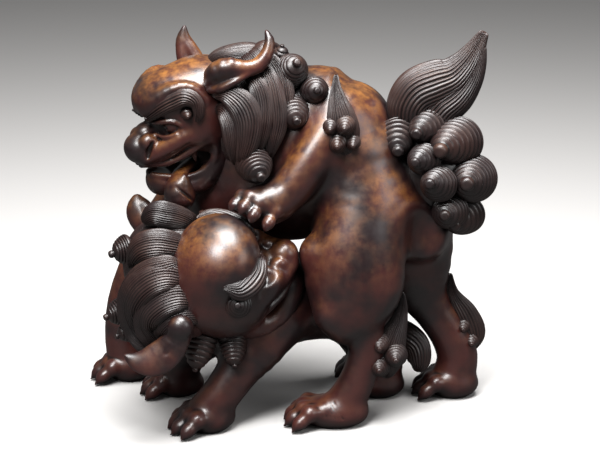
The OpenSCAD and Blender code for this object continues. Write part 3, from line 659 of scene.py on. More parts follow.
@dataclass(frozen=True)
class Finish:
    """One finish of the stoneware: colours as sRGB hex, sizes in millimetres, the rest as shares."""

    name: str
    deep: str
    body: str
    warm: str
    bloom: str
    bloom_share: float
    roughness: float
    # share of the red-brown wear on raised edges and of the painted shade in cut lines
    edge_wear_and_cut_shade: float
    coat: float
    coat_roughness: float = 0.26
    ior: float = 1.58
    cloud: float = 46.0
    mottle: float = 9.0
    grit: float = 1.1
    dimple: float = 1.2
    pit: float = 0.3
    # reach of the ambient occlusion that paints shade into sheltered hollows and holds the bloom back there
    shelter: float = 16.0
    nook_shade_share: float = 0.85
    speck_share: float = 0.35
    pit_strength: float = 0.1
    dimple_strength: float = 0.2
    bloom_low: float = 50.0
    bloom_high: float = 200.0

    def material(self) -> bpy.types.Material:
        """Builds the material.

        Unglazed iron-rich stoneware, burnished and fired in ash: a dark purple-brown body, red-brown on
        rubbed edges, with an ochre bloom of ash where it faces up, mostly high up. Shade is painted in too:
        near black in cut lines and in sheltered hollows, which the bloom doesn't reach.

        Returns:
            The node material.
        """
        mat = bpy.data.materials.new(self.name)
        mat.use_nodes = True
        tree = mat.node_tree
        tree.nodes.clear()
        add = partial(add_node, tree)

        def band(source: Socket, low: float, high: float) -> Socket:
            """Eases a value from 0 at low to 1 at high."""
            settings = {"interpolation_type": "SMOOTHSTEP", "in_1": low, "in_2": high}
            return add("ShaderNodeMapRange", {"0": source}, **settings).outputs[0]

        def times(a: Socket, b: Socket | float) -> Socket:
            """Product of a value and another value or a number."""
            number, link = ({"in_1": b}, {}) if isinstance(b, float) else ({}, {"1": b})
            return add("ShaderNodeMath", {"0": a, **link}, operation="MULTIPLY", **number).outputs[0]

        def blend(share: Socket, under: Socket | str, over: str) -> Socket:
            """Lays one colour over another by a share."""
            number, link = ({"in_6": linear(under)}, {}) if isinstance(under, str) else ({}, {"6": under})
            mix = add("ShaderNodeMix", {"0": share, **link}, data_type="RGBA", in_7=linear(over), **number)
            return mix.outputs[2]

        def noise(size: float, detail: float, rough: float) -> Socket:
            """Noise whose lumps are of a real size."""
            scale = 1.0 / (size * MM)
            return add("ShaderNodeTexNoise", {"0": place}, in_2=scale, in_3=detail, in_4=rough).outputs[0]

        coords = add("ShaderNodeTexCoord")
        place = coords.outputs["Object"]
        height = add("ShaderNodeSeparateXYZ", {"0": place}).outputs[2]
        facing = add("ShaderNodeSeparateXYZ", {"0": coords.outputs["Normal"]}).outputs[2]
        relief = add("ShaderNodeAttribute", attribute_name="relief").outputs["Fac"]
        # Ambient occlusion, for painted shade in sheltered hollows and for holding the bloom back there.
        shelter = add("ShaderNodeAmbientOcclusion", samples=6, in_1=self.shelter * MM).outputs["AO"]
        clouds = noise(self.cloud, 3.0, 0.55)
        mottle = noise(self.mottle, 5.0, 0.62)
        grit = noise(self.grit, 2.0, 0.5)

        low, high = self.bloom_low * MM, self.bloom_high * MM
        fall = add("ShaderNodeMapRange", {"0": height}, in_1=low, in_2=high, in_3=0.25, in_4=1.0).outputs[0]
        upward, flecks, drift = band(facing, -0.2, 0.95), band(mottle, 0.28, 0.74), band(clouds, 0.32, 0.62)
        # Painted shade: the occlusion keeps the ash bloom to open surfaces and lays the deep colour in
        # hollows.
        unshaded, painted_nook_shade = band(shelter, 0.35, 0.95), band(shelter, 0.72, 0.12)
        # Relief: red-brown wear on raised edges, and painted shade, near black, down in cut lines and
        # grooves.
        edges, cut_shade, specks = band(relief, 0.56, 0.92), band(relief, 0.48, 0.18), band(grit, 0.60, 0.72)
        ash = reduce(times, (upward, flecks, fall, drift, self.bloom_share, unshaded))
        colour = blend(band(clouds, 0.38, 0.68), self.body, self.warm)
        layers = (
            (ash, self.bloom),
            (times(edges, 0.5 * self.edge_wear_and_cut_shade), self.warm),
            (times(cut_shade, self.edge_wear_and_cut_shade), self.deep),
            (times(painted_nook_shade, self.nook_shade_share), self.deep),
            (times(specks, self.speck_share), self.deep),
        )
        for share, tint in layers:
            colour = blend(share, colour, tint)

        dull, bright = self.roughness + 0.09, self.roughness - 0.06
        shine = add("ShaderNodeMapRange", {"0": mottle}, in_1=0.3, in_2=0.7, in_3=bright, in_4=dull)
        pits = add("ShaderNodeBump", {"2": grit}, in_0=self.pit_strength, in_1=self.pit * MM)
        under = {"2": mottle, "Normal": pits.outputs[0]}
        dimples = add("ShaderNodeBump", under, in_0=self.dimple_strength, in_1=self.dimple * MM)
        looks = {"Base Color": colour, "Roughness": shine.outputs[0], "Normal": dimples.outputs[0]}
        bsdf = add("ShaderNodeBsdfPrincipled", looks)
        numbers = {"IOR": self.ior, "Coat Weight": self.coat, "Coat Roughness": self.coat_roughness}
        for socket, value in numbers.items():
            bsdf.inputs[socket].default_value = value
        add("ShaderNodeOutputMaterial", {"Surface": bsdf.outputs[0]})
        return mat


# Unglazed iron-rich stoneware: skin rubbed with a smooth stone, hair cut with a toothed comb.
SKIN = Finish("burnished_stoneware", "#060304", "#1b0f11", "#421e1b", "#8a5820", 0.9, 0.36, 0.85, 0.4)
HAIR = Finish("combed_stoneware", "#040202", "#180e0f", "#2c1916", "#523420", 0.6, 0.4, 1.0, 0.18)


class Kiln:
    """Fires meshes into finished pieces."""

    def __init__(self) -> None:
        """Prepares both finishes."""
        self.finishes = {Slot.SKIN: SKIN.material(), Slot.HAIR: HAIR.material()}

    def fire(self, node: str, mesh: Mesh, work: Work) -> None:
        """Makes the piece that stands for a CAD node.

        Args:
            node: name of the node.
            mesh: vertices in millimetres and quads.
            work: way that the piece is worked.
        """
        ending, slot = work.value
        name = f"{node}_{ending}"
        places, quads = mesh
        data = bpy.data.meshes.new(name)
        faces = [list(dict.fromkeys(q)) for q in quads.tolist()]
        data.from_pydata(((places - MIDDLE) * MM).tolist(), [], faces)
        relief = data.attributes.new("relief", "FLOAT", "POINT")
        relief.data.foreach_set("value", self.relief(mesh).astype(np.float32))
        data.shade_smooth()
        data.materials.append(self.finishes[slot])
        piece = bpy.data.objects.new(name, data)
        bpy.context.scene.collection.objects.link(piece)
        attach(piece, "root")
        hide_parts(node)
        log.info("%s: %d faces", name, len(faces))

    def fire_curls(self, nodes: str, curls: Iterable[Snail]) -> None:
        """Fires a numbered row of curls."""
        for number, curl in enumerate(curls, 1):
            self.fire(f"{nodes}_{number}", curl.mesh(), Work.WOUND)

    @staticmethod
    def relief(mesh: Mesh, rounds: int = 3, gain: float = 1.1) -> np.ndarray:
        """How far each vertex stands proud of its surroundings: 0 in a cut, a half on a plain, 1 on an edge.

        Args:
            mesh: vertices and quads.
            rounds: rings of neighbours that make up the surroundings.
            gain: share for each millimetre.

        Returns:
            One number per vertex.
        """
        places, quads = mesh
        edges = quad_edges(quads)
        edges = edges[edges[:, 0] != edges[:, 1]]
        wide = places
        for _ in range(rounds):
            wide = neighbour_mean(wide, edges)
        return np.clip(0.5 + gain * np.einsum("ij,ij->i", places - wide, vertex_normals(mesh)), 0.0, 1.0)


@dataclass(frozen=True)
class Paw:
    """Standing paw with four toes, each a knuckle, a toe end and a nail; forward points to the toes."""

    at: Vec
    forward: Vec
    left: Vec
    width: float
    toe: float
    fan: float = 0.42
    toe_dip: float = 0.62
    nail_dip: float = 0.85

    def press(self, clay: Clay, name: str) -> None:
        """Presses the paw on to a leg.

        Args:
            clay: body of clay.
            name: leg that the paw belongs to.
        """
        pose = Pose(self.at, self.forward, self.left)
        w, r = self.width, self.toe / 2
        top = tuple(pose.turn(UP))
        pad = Ball(pose.out([-0.20 * w, 0, 0.27 * w]), (0.56 * w, 0.43 * w, 0.30 * w), pose.matrix().tolist())
        clay.add(name, w * 0.2, pad)
        for i in range(4):
            side = (i - 1.5) / 1.5
            fan = self.fan * side
            reach = w * (0.27 - 0.12 * side * side)
            along = np.array([math.cos(fan), math.sin(fan), 0.0])
            root = np.array([reach - 0.30 * w, 0.26 * side * w, 0.40 * w])
            knuckle = np.array([reach, 0.36 * side * w, 0.36 * w])
            dip = unit(along - self.toe_dip * np.array(UP))
            end = knuckle + dip * r * 1.5
            nail = end + unit(along - self.nail_dip * np.array(UP)) * r * 1.75
            axis = pose.turn(dip)
            across = unit(np.cross(top, axis))
            egg = np.stack([axis, across, np.cross(axis, across)]).tolist()
            clay.add(name, r * 0.6, Limb([(*pose.out(root), r * 0.92), (*pose.out(knuckle), r)], top, 4))
            clay.add(name, r * 0.4, Ball(pose.out(knuckle + [0, 0, r * 0.15]), (r * 1.1,) * 3))
            clay.add(name, r * 0.45, Ball(pose.out(end), (r * 1.3, r * 0.95, r * 0.9), egg))
            clay.add(name, r * 0.3, Limb([(*pose.out(end), r * 0.78), (*pose.out(nail), r * 0.14)], top, 4))


@dataclass(frozen=True)
class Ear:
    """Ear between two corners of its grid, swept along a path of shares of its width.

    The lump that is pressed on and the fold that is scooped out come with their blends.
    """

    low: Vec
    high: Vec
    width: float
    path: Rows
    lean: Vec
    stretches: int
    fold: tuple[float, Limb]
    lump: tuple[float, Form] | None = None
    soft: int = 3
    blend: float = 4.0
    grain: float = 0.9

    def mesh(self) -> Mesh:
        """Models the ear."""
        clay = Clay(self.low, self.high, self.grain)
        rows = scaled(self.path, self.width, self.width)
        clay.add("ear", self.blend, Limb(rows, self.lean, self.stretches))
        if self.lump is not None:
            clay.add("ear", *self.lump)
        clay.scoop(*self.fold)
        clay.soften(self.soft)
        return clay.piece("ear", 2)


@dataclass
class LionBody:
    """Torso and legs of the parent, one skin cut at its luted seams."""

    torso_size: tuple[float, float] = (106.0, 136.0)
    shank: tuple[float, float] = (32.0, 30.0)
    thigh: tuple[float, float] = (92.0, 64.0)
    wrist: tuple[float, float] = (33.0, 31.0)
    shoulder: tuple[float, float] = (60.0, 46.0)
    paw_width: float = 42.0
    toe: float = 13.5
    grain: float = 1.5

    def build(self, kiln: Kiln) -> None:
        """Builds and dresses the five pieces."""
        clay = Clay((-212, -86, -4), (172, 110, 314), self.grain)
        self._torso(clay)
        self._near_hind_leg(clay)
        self._other_legs(clay)
        clay.soften(4)
        paws = {
            "hind_left": ((14, -44, 0), (-1, -0.05, 0), (0.05, -1, 0)),
            "hind_right": ((130, 26, 0), (-1, 0.07, 0), (-0.07, -1, 0)),
            "fore_right": ((-167, 66, 0), (-1, 0, 0), NEAR),
        }
        for name, place in paws.items():
            Paw(*place, self.paw_width, self.toe).press(clay, "lion_leg_" + name)
        self._raised_paw(clay)
        clay.level(0.0)
        for node in clay.owners:
            mesh = clay.piece(node, 3)
            kiln.fire(node, self._mark_foot(mesh) if node == "lion_leg_hind_left" else mesh, Work.SKIN)

    def _torso(self, clay: Clay) -> None:
        """Barrel, withers and rump, hollow at the flank and under the tail."""
        path = [
            (-92, 30, 184, 0.25, 0.25), (-76, 27, 194, 0.6, 0.64), (-54, 23, 207, 0.84, 0.86),
            (-25, 20, 222, 0.98, 1.09), (16, 12, 232, 1.0, 1.08), (45, 4, 219, 0.96, 0.7),
            (75, -2, 190, 0.86, 0.54), (100, -7, 168, 0.66, 0.4), (116, -8, 152, 0.2, 0.14),
        ]
        w, h = self.torso_size
        clay.add("lion_torso", 12, Limb(scaled(path, w / 2, h / 2), UP, 22))
        flank = [
            (34, -60, 242, 6), (18, -58, 226, 11), (4, -58, 206, 17), (-8, -58, 184, 22),
            (-14, -56, 160, 24),
        ]
        clay.scoop(10, Limb(flank, DEEP, 12), Ball((108, -56, 166), (24, 34, 34)))

    def _near_hind_leg(self, clay: Clay) -> None:
        """Near hind leg: haunch, knee, shank, hock and foot."""
        name = "lion_leg_hind_left"
        haunch = [
            (66, -6, 234, 8, 8), (62, -16, 217, 26, 20), (52, -27, 196, 33, 27), (50.5, -33, 172, 37.5, 31),
            (47, -38, 150, 42, 32), (46, -41, 127, 42, 31), (41, -44, 106, 31, 26), (39, -46, 91, 17, 16),
        ]
        shank = [
            (50, -42, 106, 22, 18), (55, -43, 86, 17, 16), (57, -43, 68, 15.5, 15), (52, -43, 48, 15, 14.5),
            (45, -43, 31, 16, 15), (36, -43, 18, 16, 15),
        ]
        clay.add(name, 10, Limb(haunch, DEEP, 30))
        clay.add(name, 8, Ball((11, -42, 155), (12, 12, 14)))
        clay.add(name, 5, Limb(shank, DEEP, 14))
        hock, knee = Ball((65, -42, 70), (9, 9, 12)), Ball((26, -57, 106), (13, 11, 14))
        clay.add(name, 8, hock, knee, Ball((38, -44, 12), (22, 17, 13)))

    def _other_legs(self, clay: Clay) -> None:
        """Far hind leg, near foreleg raised over the cub, and far foreleg."""
        hind, fore = (self.shank, self.thigh), (self.wrist, self.shoulder)
        far_hind = [
            (74, -2, 214, -0.3), (80, 4, 200, 0.3), (90, 14, 174, 0.78), (97, 23, 142, 0.78),
            (103, 27, 112, 0.5), (115, 27, 88, 0.12), (130, 27, 66, 0.05), (140, 27, 48, 0.08),
            (143, 27, 32, 0.08), (138, 26, 16, 0.1),
        ]
        raised = [
            (34, -14, 272, 0.4), (24, -30, 257, 0.16), (12, -38, 240, 0.09), (2, -42, 225, 0.07),
            (-8, -44, 212, 0.05), (-18, -45, 202, 0.02), (-27, -45, 197, 0.0),
        ]
        far_fore = [
            (-40, 40, 214, 1.0), (-80, 54, 194, 0.8), (-114, 62, 162, 0.5), (-142, 66, 120, 0.2),
            (-160, 66, 80, 0.02), (-165, 66, 46, 0.0), (-162, 66, 18, 0.1),
        ]
        legs = {  # path, sections, blend and stretches
            "hind_right": (far_hind, hind, 16, 20),
            "fore_left": (raised, fore, 8, 20),
            "fore_right": (far_fore, fore, 14, 16),
        }
        for name, (path, sections, blend, stretches) in legs.items():
            clay.add("lion_leg_" + name, blend, Limb(leg(path, *sections), DEEP, stretches))

    def _raised_paw(self, clay: Clay) -> None:
        """Near forepaw: toes fan out and hang down, each with a knuckle, an egg-shaped end and a nail."""
        name, r = "lion_leg_fore_left", self.toe / 2
        clay.add(name, 9, Ball((-29, -50, 202), (20, 15, 13)), Ball((-38, -54, 204), (13, 10, 9)))
        toes = [
            ((-48, -54, 208), (-54, -61, 203)),
            ((-41, -59, 208.5), (-46.5, -66, 202)),
            ((-33, -61, 204), (-38.5, -69, 196)),
            ((-21, -60, 196.5), (-26.5, -67.5, 188.5)),
        ]
        for knuckle, end in toes:
            dip = unit(np.subtract(end, knuckle))
            across = unit(np.cross(dip, UP))
            egg = np.stack([dip, across, np.cross(dip, across)]).tolist()
            point = np.asarray(end) + dip * r * 0.75 + np.array([0.0, 0.0, -1.5])
            clay.add(name, 3, Ball(knuckle, (r * 0.98,) * 3))
            clay.add(name, 1.6, Ball(tuple(np.asarray(end) - dip * 1.5), (r * 1.1, r * 0.86, r * 0.8), egg))
            clay.add(name, 1.2, Limb([(*end, r * 0.62), (*point, r * 0.26)], UP, 4))

    def _mark_foot(self, mesh: Mesh) -> Mesh:
        """Incised hair lines above the toes of the near hind foot."""
        for k in range(6):
            x = 12 + 3.4 * k
            line = [(x, -56, 27 - 0.4 * k), (x + 3, -60, 22 - 0.6 * k), (x + 8, -62, 15 - 0.6 * k)]
            mesh = incise(mesh, line)
        return mesh


@dataclass(frozen=True)
class Brow:
    """Brow on the left of a head: its leaf and the leaf's lean; base, tip and radius of its curls."""

    leaf: Rows
    lean: Vec
    ring: tuple[Vec, Vec, float]
    knob: tuple[Vec, Vec, float]

    def mesh(self, pose: Pose, side: Side) -> Mesh:
        """Combed leaf that rises from a knob and runs to a ring.

        Args:
            pose: place of the head.
            side: side of the head.

        Returns:
            The brow in clay coordinates.
        """
        rows = [(*pose.out(s[:3]), s[3] * pose.scale, s[4] * pose.scale) for s in mirrored(self.leaf, side)]
        (lean,) = mirrored((self.lean,), side)
        parts = [Lock(rows, tuple(pose.turn(lean)), ridges=19, along=50)]
        for base, tip, radius in (self.ring, self.knob):
            ends = (tuple(pose.out(point)) for point in mirrored((base, tip), side))
            parts.append(Snail(*ends, radius * pose.scale, turns=3.5, nub=0.28, groove=0.22))
        return joined(*[part.mesh() for part in parts])


LION_BROW = Brow(
    (
        (52, 10, 22, 2.6, 3), (48.5, 15, 25.5, 4.8, 4.6), (39, 24, 31.5, 7.2, 6), (28.5, 31, 35, 8.4, 6.4),
        (19.5, 37, 36, 8, 6.4), (13.5, 41.5, 29.5, 6.6, 6), (15, 43.5, 19.5, 4.8, 5), (20, 43, 13.5, 2, 3),
    ),
    lean=(0.5, 0.65, 0.55),
    ring=((22.5, 34, 21), (26, 44.5, 22), 6.4),
    knob=((48, 8.5, 21.5), (53.5, 14.5, 24.5), 4.7),
)
CUB_BROW = Brow(
    (
        (47, 11, 20, 2.6, 3), (47.5, 15, 24.5, 5, 4.8), (42.5, 25, 26.5, 8.4, 6.4), (34.5, 33, 31, 10, 7),
        (27, 37.5, 37, 8.8, 5.8), (22, 36, 43.5, 4.6, 3.6), (18.5, 34, 47, 1.4, 1.6),
    ),
    lean=(0.3, 0.58, 0.76),
    ring=((17.8, 40.5, 24.5), (19.8, 46, 32.5), 10.6),
    knob=((46, 9, 20), (49.5, 15, 25), 4.6),
)
LION_POSE = Pose((-85, 8, 266), (-0.846, -0.401, -0.352), (0.454, -0.888, -0.078), 84 / HEAD_SIZE)
CUB_POSE = Pose((-69, -45, 126), (0.839, -0.057, 0.542), (-0.325, 0.746, 0.582), 93 / HEAD_SIZE)
LION_NOSE = Ball((65, 0, -4), (13.5, 14.5, 14))
CUB_NOSE = Ball((59, 0, -7), (11.5, 12.5, 12))
LION_FOREHEAD = Ball((27, 0, 32), (28, 30, 20))
CUB_FOREHEAD = Ball((19, 0, 36.5), (35, 37, 27.5))


@dataclass
class Head:
    """Head of either animal, modelled with the nose along +X and placed by its pose.

    The muzzle is drawn for the parent's nose, and is drawn in as far as the cub's nose is.
    """

    animal: str
    pose: Pose
    mouth: Mouth
    forehead: Ball
    nose: Ball
    brow: Brow
    grain: float = 1.0

    @property
    def snarls(self) -> bool:
        """Whether the mouth is open."""
        return self.mouth is Mouth.SNARLING

    @property
    def nose_size(self) -> float:
        """Size of the nose beside the parent's."""
        return self.nose.radii[0] / LION_NOSE.radii[0]

    def build(self, kiln: Kiln) -> None:
        """Builds and dresses head, jaw and brows."""
        clay = Clay((-62, -60, -82), (90, 60, 74), self.grain)
        head, jaw = self.animal + "_head", self.animal + "_jaw"
        self._skull(clay, head)
        for side in Side:
            self._muzzle(clay, head, side)
        self._jaw(clay, jaw)
        self._scoop(clay)
        for side in Side:
            if self.snarls:
                self._mouth_rim(clay, head, jaw, side)
            self._eye(clay, head, side)
        kiln.fire(head, self.pose.place(self._whiskers(clay.piece(head, 2))), Work.SKIN)
        kiln.fire(jaw, self.pose.place(clay.piece(jaw, 2)), Work.SKIN)
        for side in Side:
            kiln.fire(f"{self.animal}_brow_{side.name.lower()}", self.brow.mesh(self.pose, side), Work.COMBED)

    def _skull(self, clay: Clay, name: str) -> None:
        """Cranium, throat, forehead, bridge of the muzzle, cheeks, nose and the brow bones of a snarl."""
        clay.add(name, 14, Ball((0, 0, 15), (46, 42, 37)), Ball((-10, 0, -18), (34, 33, 28)))
        clay.add(name, 10, self.forehead)
        bridge = [(10, 0, -2, 33, 18), (28, 0, -4, 26, 14), (44, 0, -7, 19, 12), (58, 0, -10, 14, 9)]
        clay.add(name, 8, Limb(bridge, UP, 8))
        bone = [
            (50, 8, 28, 4), (44, 15, 36, 5), (32, 23, 42, 5.6), (19, 29, 43, 5.4), (9, 34, 37, 5),
            (3, 38, 26, 4),
        ]
        for side in Side:
            clay.add(name, 10, Ball((5, 29 * side.value, -1), (26, 15, 24)))
            if self.snarls:
                clay.add(name, 5, Limb(mirrored(bone, side), UP, 12))
        if self.snarls:
            clay.add(name, 5, Ball((54, 0, 7), (11, 10, 9)))
        clay.add(name, 2.5, self.nose)

    def _muzzle(self, clay: Clay, name: str, side: Side) -> None:
        """Nostril wing, swept lip pad and the rolled edge of the lip."""
        y, size, reach = side.value, self.nose_size, self.nose.at[0] / LION_NOSE.at[0]
        wing = np.asarray(self.nose.at) + size * np.array([-7.5, 12 * y, 5.5])
        clay.add(name, 2, Ball(tuple(wing), (9 * size, 7 * size, 8.6 * size)))
        pad = [
            (64, 8, -12, 7, 8), (53, 16.5, -9, 8, 9), (41, 24, -5, 8.5, 9), (30, 30, -1, 8.5, 9),
            (18, 34, -3, 8, 9),
        ]
        clay.add(name, 3.5, Limb(mirrored([(x * reach, *rest) for x, *rest in pad], side), UP, 12))
        if not self.snarls:
            clay.add(name, 6, Ball((36, 21 * y, 1), (16, 11, 10)))
        edge = [
            (69, 4, -18, 3.2), (59, 13, -19.5, 3.4), (46, 23, -20, 3.4), (34, 30, -16, 3.4),
            (24, 35, -12, 3.4), (14, 38, -9.5, 3.4),
        ]
        clay.add(name, 2, Limb(mirrored([(x * reach, *rest) for x, *rest in edge], side), UP, 14))

    def _jaw(self, clay: Clay, name: str) -> None:
        """Lower jaw: two branches, a chin and a floor, lifted and drawn in where the mouth is shut."""
        lift, reach = (0.0, 1.0) if self.snarls else (9.0, 0.88)
        branch = [
            (4, 31, -27, 10, 12), (15, 32, -38, 9, 10), (29, 28, -47, 8.5, 9), (44, 20, -47, 8.5, 9),
            (56, 8, -44, 9, 10), (59, 0, -43, 9, 10),
        ]
        shares = [min(1.0, max(0.0, (row[0] + 4) / 30)) for row in branch]
        lifted = [(x * reach, y, z + lift * s, *half) for (x, y, z, *half), s in zip(branch, shares)]
        for side in Side:
            clay.add(name, 5, Limb(mirrored(lifted, side), UP, 14))
        clay.add(name, 5, Ball((57 * reach, 0, -40 + lift), (11.5, 15, 12)))
        floor = [(-6, 0, -38, 26, 9), (24, 0, -50 + lift, 24, 7), (48, 0, -50 + lift, 14, 7)]
        clay.add(name, 8, Limb(floor, UP, 8))

    def _mouth_rim(self, clay: Clay, head: str, jaw: str, side: Side) -> None:
        """Rolled corner of the mouth, running on as the lower lip, and a fang."""
        corner = [(16, 38.2, -9.4, 3), (10.5, 39, -12, 3), (9.5, 39, -20, 3), (14, 37.5, -28.5, 3)]
        lip = [
            (13, 38, -27.5, 2.9), (21, 35.5, -34.5, 2.9), (31, 31, -38, 2.9), (43, 24, -38, 2.8),
            (55, 14, -34, 2.8), (63, 5, -31, 2.6),
        ]
        fang = [(27, 31.5, -12, 3.2), (28, 31.5, -19, 2.6), (29, 31, -26, 0.8)]
        clay.add(head, 2.5, Limb(mirrored(corner, side), DEEP, 10))
        clay.add(jaw, 2.5, Limb(mirrored(lip, side), UP, 12))
        clay.add(head, 1.2, Limb(mirrored(fang, side), UP, 5))

    def _eye(self, clay: Clay, name: str, side: Side) -> None:
        """Eyeball with a drilled pupil, between the two lids of a snarl."""
        y = side.value
        clay.add(name, 0.8, Ball((34.5, 20 * y, 11.5), (8.2, 8.8, 7.6)))
        if self.snarls:
            lower = [(50, 13.5, 7, 1.5), (45.5, 23, 4.5, 1.8), (37, 30, 5.5, 1.5)]
            upper = [(48, 12.5, 17, 1.6), (44, 21, 18.5, 2.4), (36, 28.5, 17, 2.2), (31, 32.5, 12, 1.4)]
            clay.add(name, 2, *[Limb(mirrored(lid, side), UP, 8) for lid in (lower, upper)])
        clay.scoop(0.8, Ball((43.5, 21.5 * y, 11), (5, 3.4, 3.2)))

    def _scoop(self, clay: Clay) -> None:
        """Open mouth and nostrils of a snarl or the line of shut lips, and the eye sockets."""
        if self.snarls:
            clay.scoop(2.5, Ball((30, 0, -26.5), (24, 46, 9.5)), Ball((40, 0, -27), (26, 22, 9)))
            clay.scoop(2.5, Ball((64, 0, -24.5), (16, 22, 2.6)))
        shut = [
            (72, 0, -23.5, 1.0), (60, 16, -24.5, 1.2), (46, 27, -25, 1.2), (33, 34, -21.5, 1.2),
            (22, 38.5, -17, 1.2), (13, 41, -13, 1.0),
        ]
        slit = [(0, 16, -5, 1.8), (-3.5, 16.5, 1, 2.6), (-8, 18.5, 6.5, 1.8)]
        size = self.nose_size
        nostril = [(*np.add(self.nose.at, np.multiply(row[:3], size)), row[3] * size) for row in slit]
        for side in Side:
            if not self.snarls:
                clay.scoop(1.5, Limb(mirrored(shut, side), UP, 16))
            clay.scoop(2.5, Ball((47, 22 * side.value, 14), (13, 12, 8.5)))
            if self.snarls:
                clay.scoop(1.2, Limb(mirrored(nostril, side), DEEP, 8))

    def _whiskers(self, mesh: Mesh) -> Mesh:
        """Incised lines that follow the lip."""
        line = [(64, 15, -13), (53, 25, -11), (41, 32.5, -8), (31, 38, -4)]
        spread = (1.5, 2.2, 2.4, 2.6)
        for side in Side:
            for k in range(3):
                mesh = incise(mesh, mirrored([(x, y, z - k * d) for (x, y, z), d in zip(line, spread)], side))
        return mesh


@dataclass
class LionTrim:
    """Tongue and ears of the parent."""

    ear_width: float = 26.0
    grain: float = 0.9

    def build(self, kiln: Kiln) -> None:
        """Builds and dresses the three pieces."""
        kiln.fire("lion_tongue", LION_POSE.place(self._tongue()), Work.SKIN)
        kiln.fire("lion_ear_left", self._near_ear().mesh(), Work.SKIN)
        kiln.fire("lion_ear_right", self._far_ear().mesh(), Work.SKIN)

    def _tongue(self) -> Mesh:
        """Tongue over the near side of the jaw, a bulb with a groove and an upturned point."""
        clay = Clay((0, -12, -92), (80, 50, -20), self.grain)
        root = [(22, 8, -36, 9, 5), (38, 14, -37, 11, 6), (50, 22, -42, 12, 9), (52, 25, -52, 12, 12)]
        point = [(49, 26, -49, 9.5), (46, 29, -42, 6), (43.5, 30.5, -35, 1.4)]
        groove = [(56.5, 31, -35, 0.7), (53, 36, -42, 1.4), (47.5, 37, -53, 1.3), (44, 35, -61, 0.6)]
        clay.add("tongue", 4, Limb(root, (0.7, 0, 0.7), 10))
        clay.add("tongue", 5, Ball((52, 24, -53), (13.5, 12.5, 13.5)), Limb(point, UP, 6))
        clay.scoop(1.0, Limb(groove, UP, 10))
        return clay.piece("tongue", 2)

    def _near_ear(self) -> Ear:
        """Horn-like ear, rolled at the root and sweeping back to a raised tip."""
        path = [
            (-74, -27, 298, 0.24, 0.24), (-70, -36, 307, 0.36, 0.34), (-60, -40, 313, 0.36, 0.34),
            (-46, -40, 312.5, 0.28, 0.27), (-35, -37, 315, 0.25, 0.25), (-27.5, -34, 323.5, 0.22, 0.22),
            (-25, -31, 334, 0.17, 0.18), (-28, -29, 342.5, 0.07, 0.08),
        ]
        rim = [(-74, -32, 294, 4), (-66, -43, 297, 4), (-54, -46, 303, 3.4), (-43, -44, 309, 2.6)]
        fold = [(-72, -46, 300, 3), (-62, -51, 305, 3.6), (-50, -51, 309, 2.6), (-39, -47, 312, 1.2)]
        roll, crease = (2, Limb(rim, UP, 10)), (2, Limb(fold, UP, 12))
        return Ear((-96, -66, 274), (-4, -8, 352), self.ear_width, path, (0, 1, 0.2), 16, crease, roll)

    def _far_ear(self) -> Ear:
        """Upright blade of the far ear."""
        path = [
            (-88, 30, 294, 0.34, 0.26), (-94, 37, 304, 0.46, 0.26), (-98, 39, 314, 0.40, 0.22),
            (-101, 41, 324, 0.27, 0.17), (-100, 41, 335, 0.08, 0.08),
        ]
        fold = [(-90, 26, 298, 5), (-97, 29, 309, 5), (-101, 33, 321, 2)]
        return Ear((-122, 10, 274), (-68, 66, 352), self.ear_width, path, DEEP, 12, (3, Limb(fold, UP, 8)))


@dataclass(frozen=True)
class Tuft:
    """Flame tuft: a combed path of shares of its width, with small curls, each a base, tip and radius."""

    flame: Rows
    ridges: int
    curls: Sequence[tuple[Vec, Vec, float]]
    turns: float
    width: float = 30.0

    def mesh(self) -> Mesh:
        """Combs the flame and winds the curls."""
        flame = Lock(scaled(self.flame, self.width, self.width), NEAR, self.ridges, along=56, blunt=0.06)
        curls = [Snail(base, tip, radius, NEAR, self.turns) for base, tip, radius in self.curls]
        return joined(*[part.mesh() for part in (flame, *curls)])


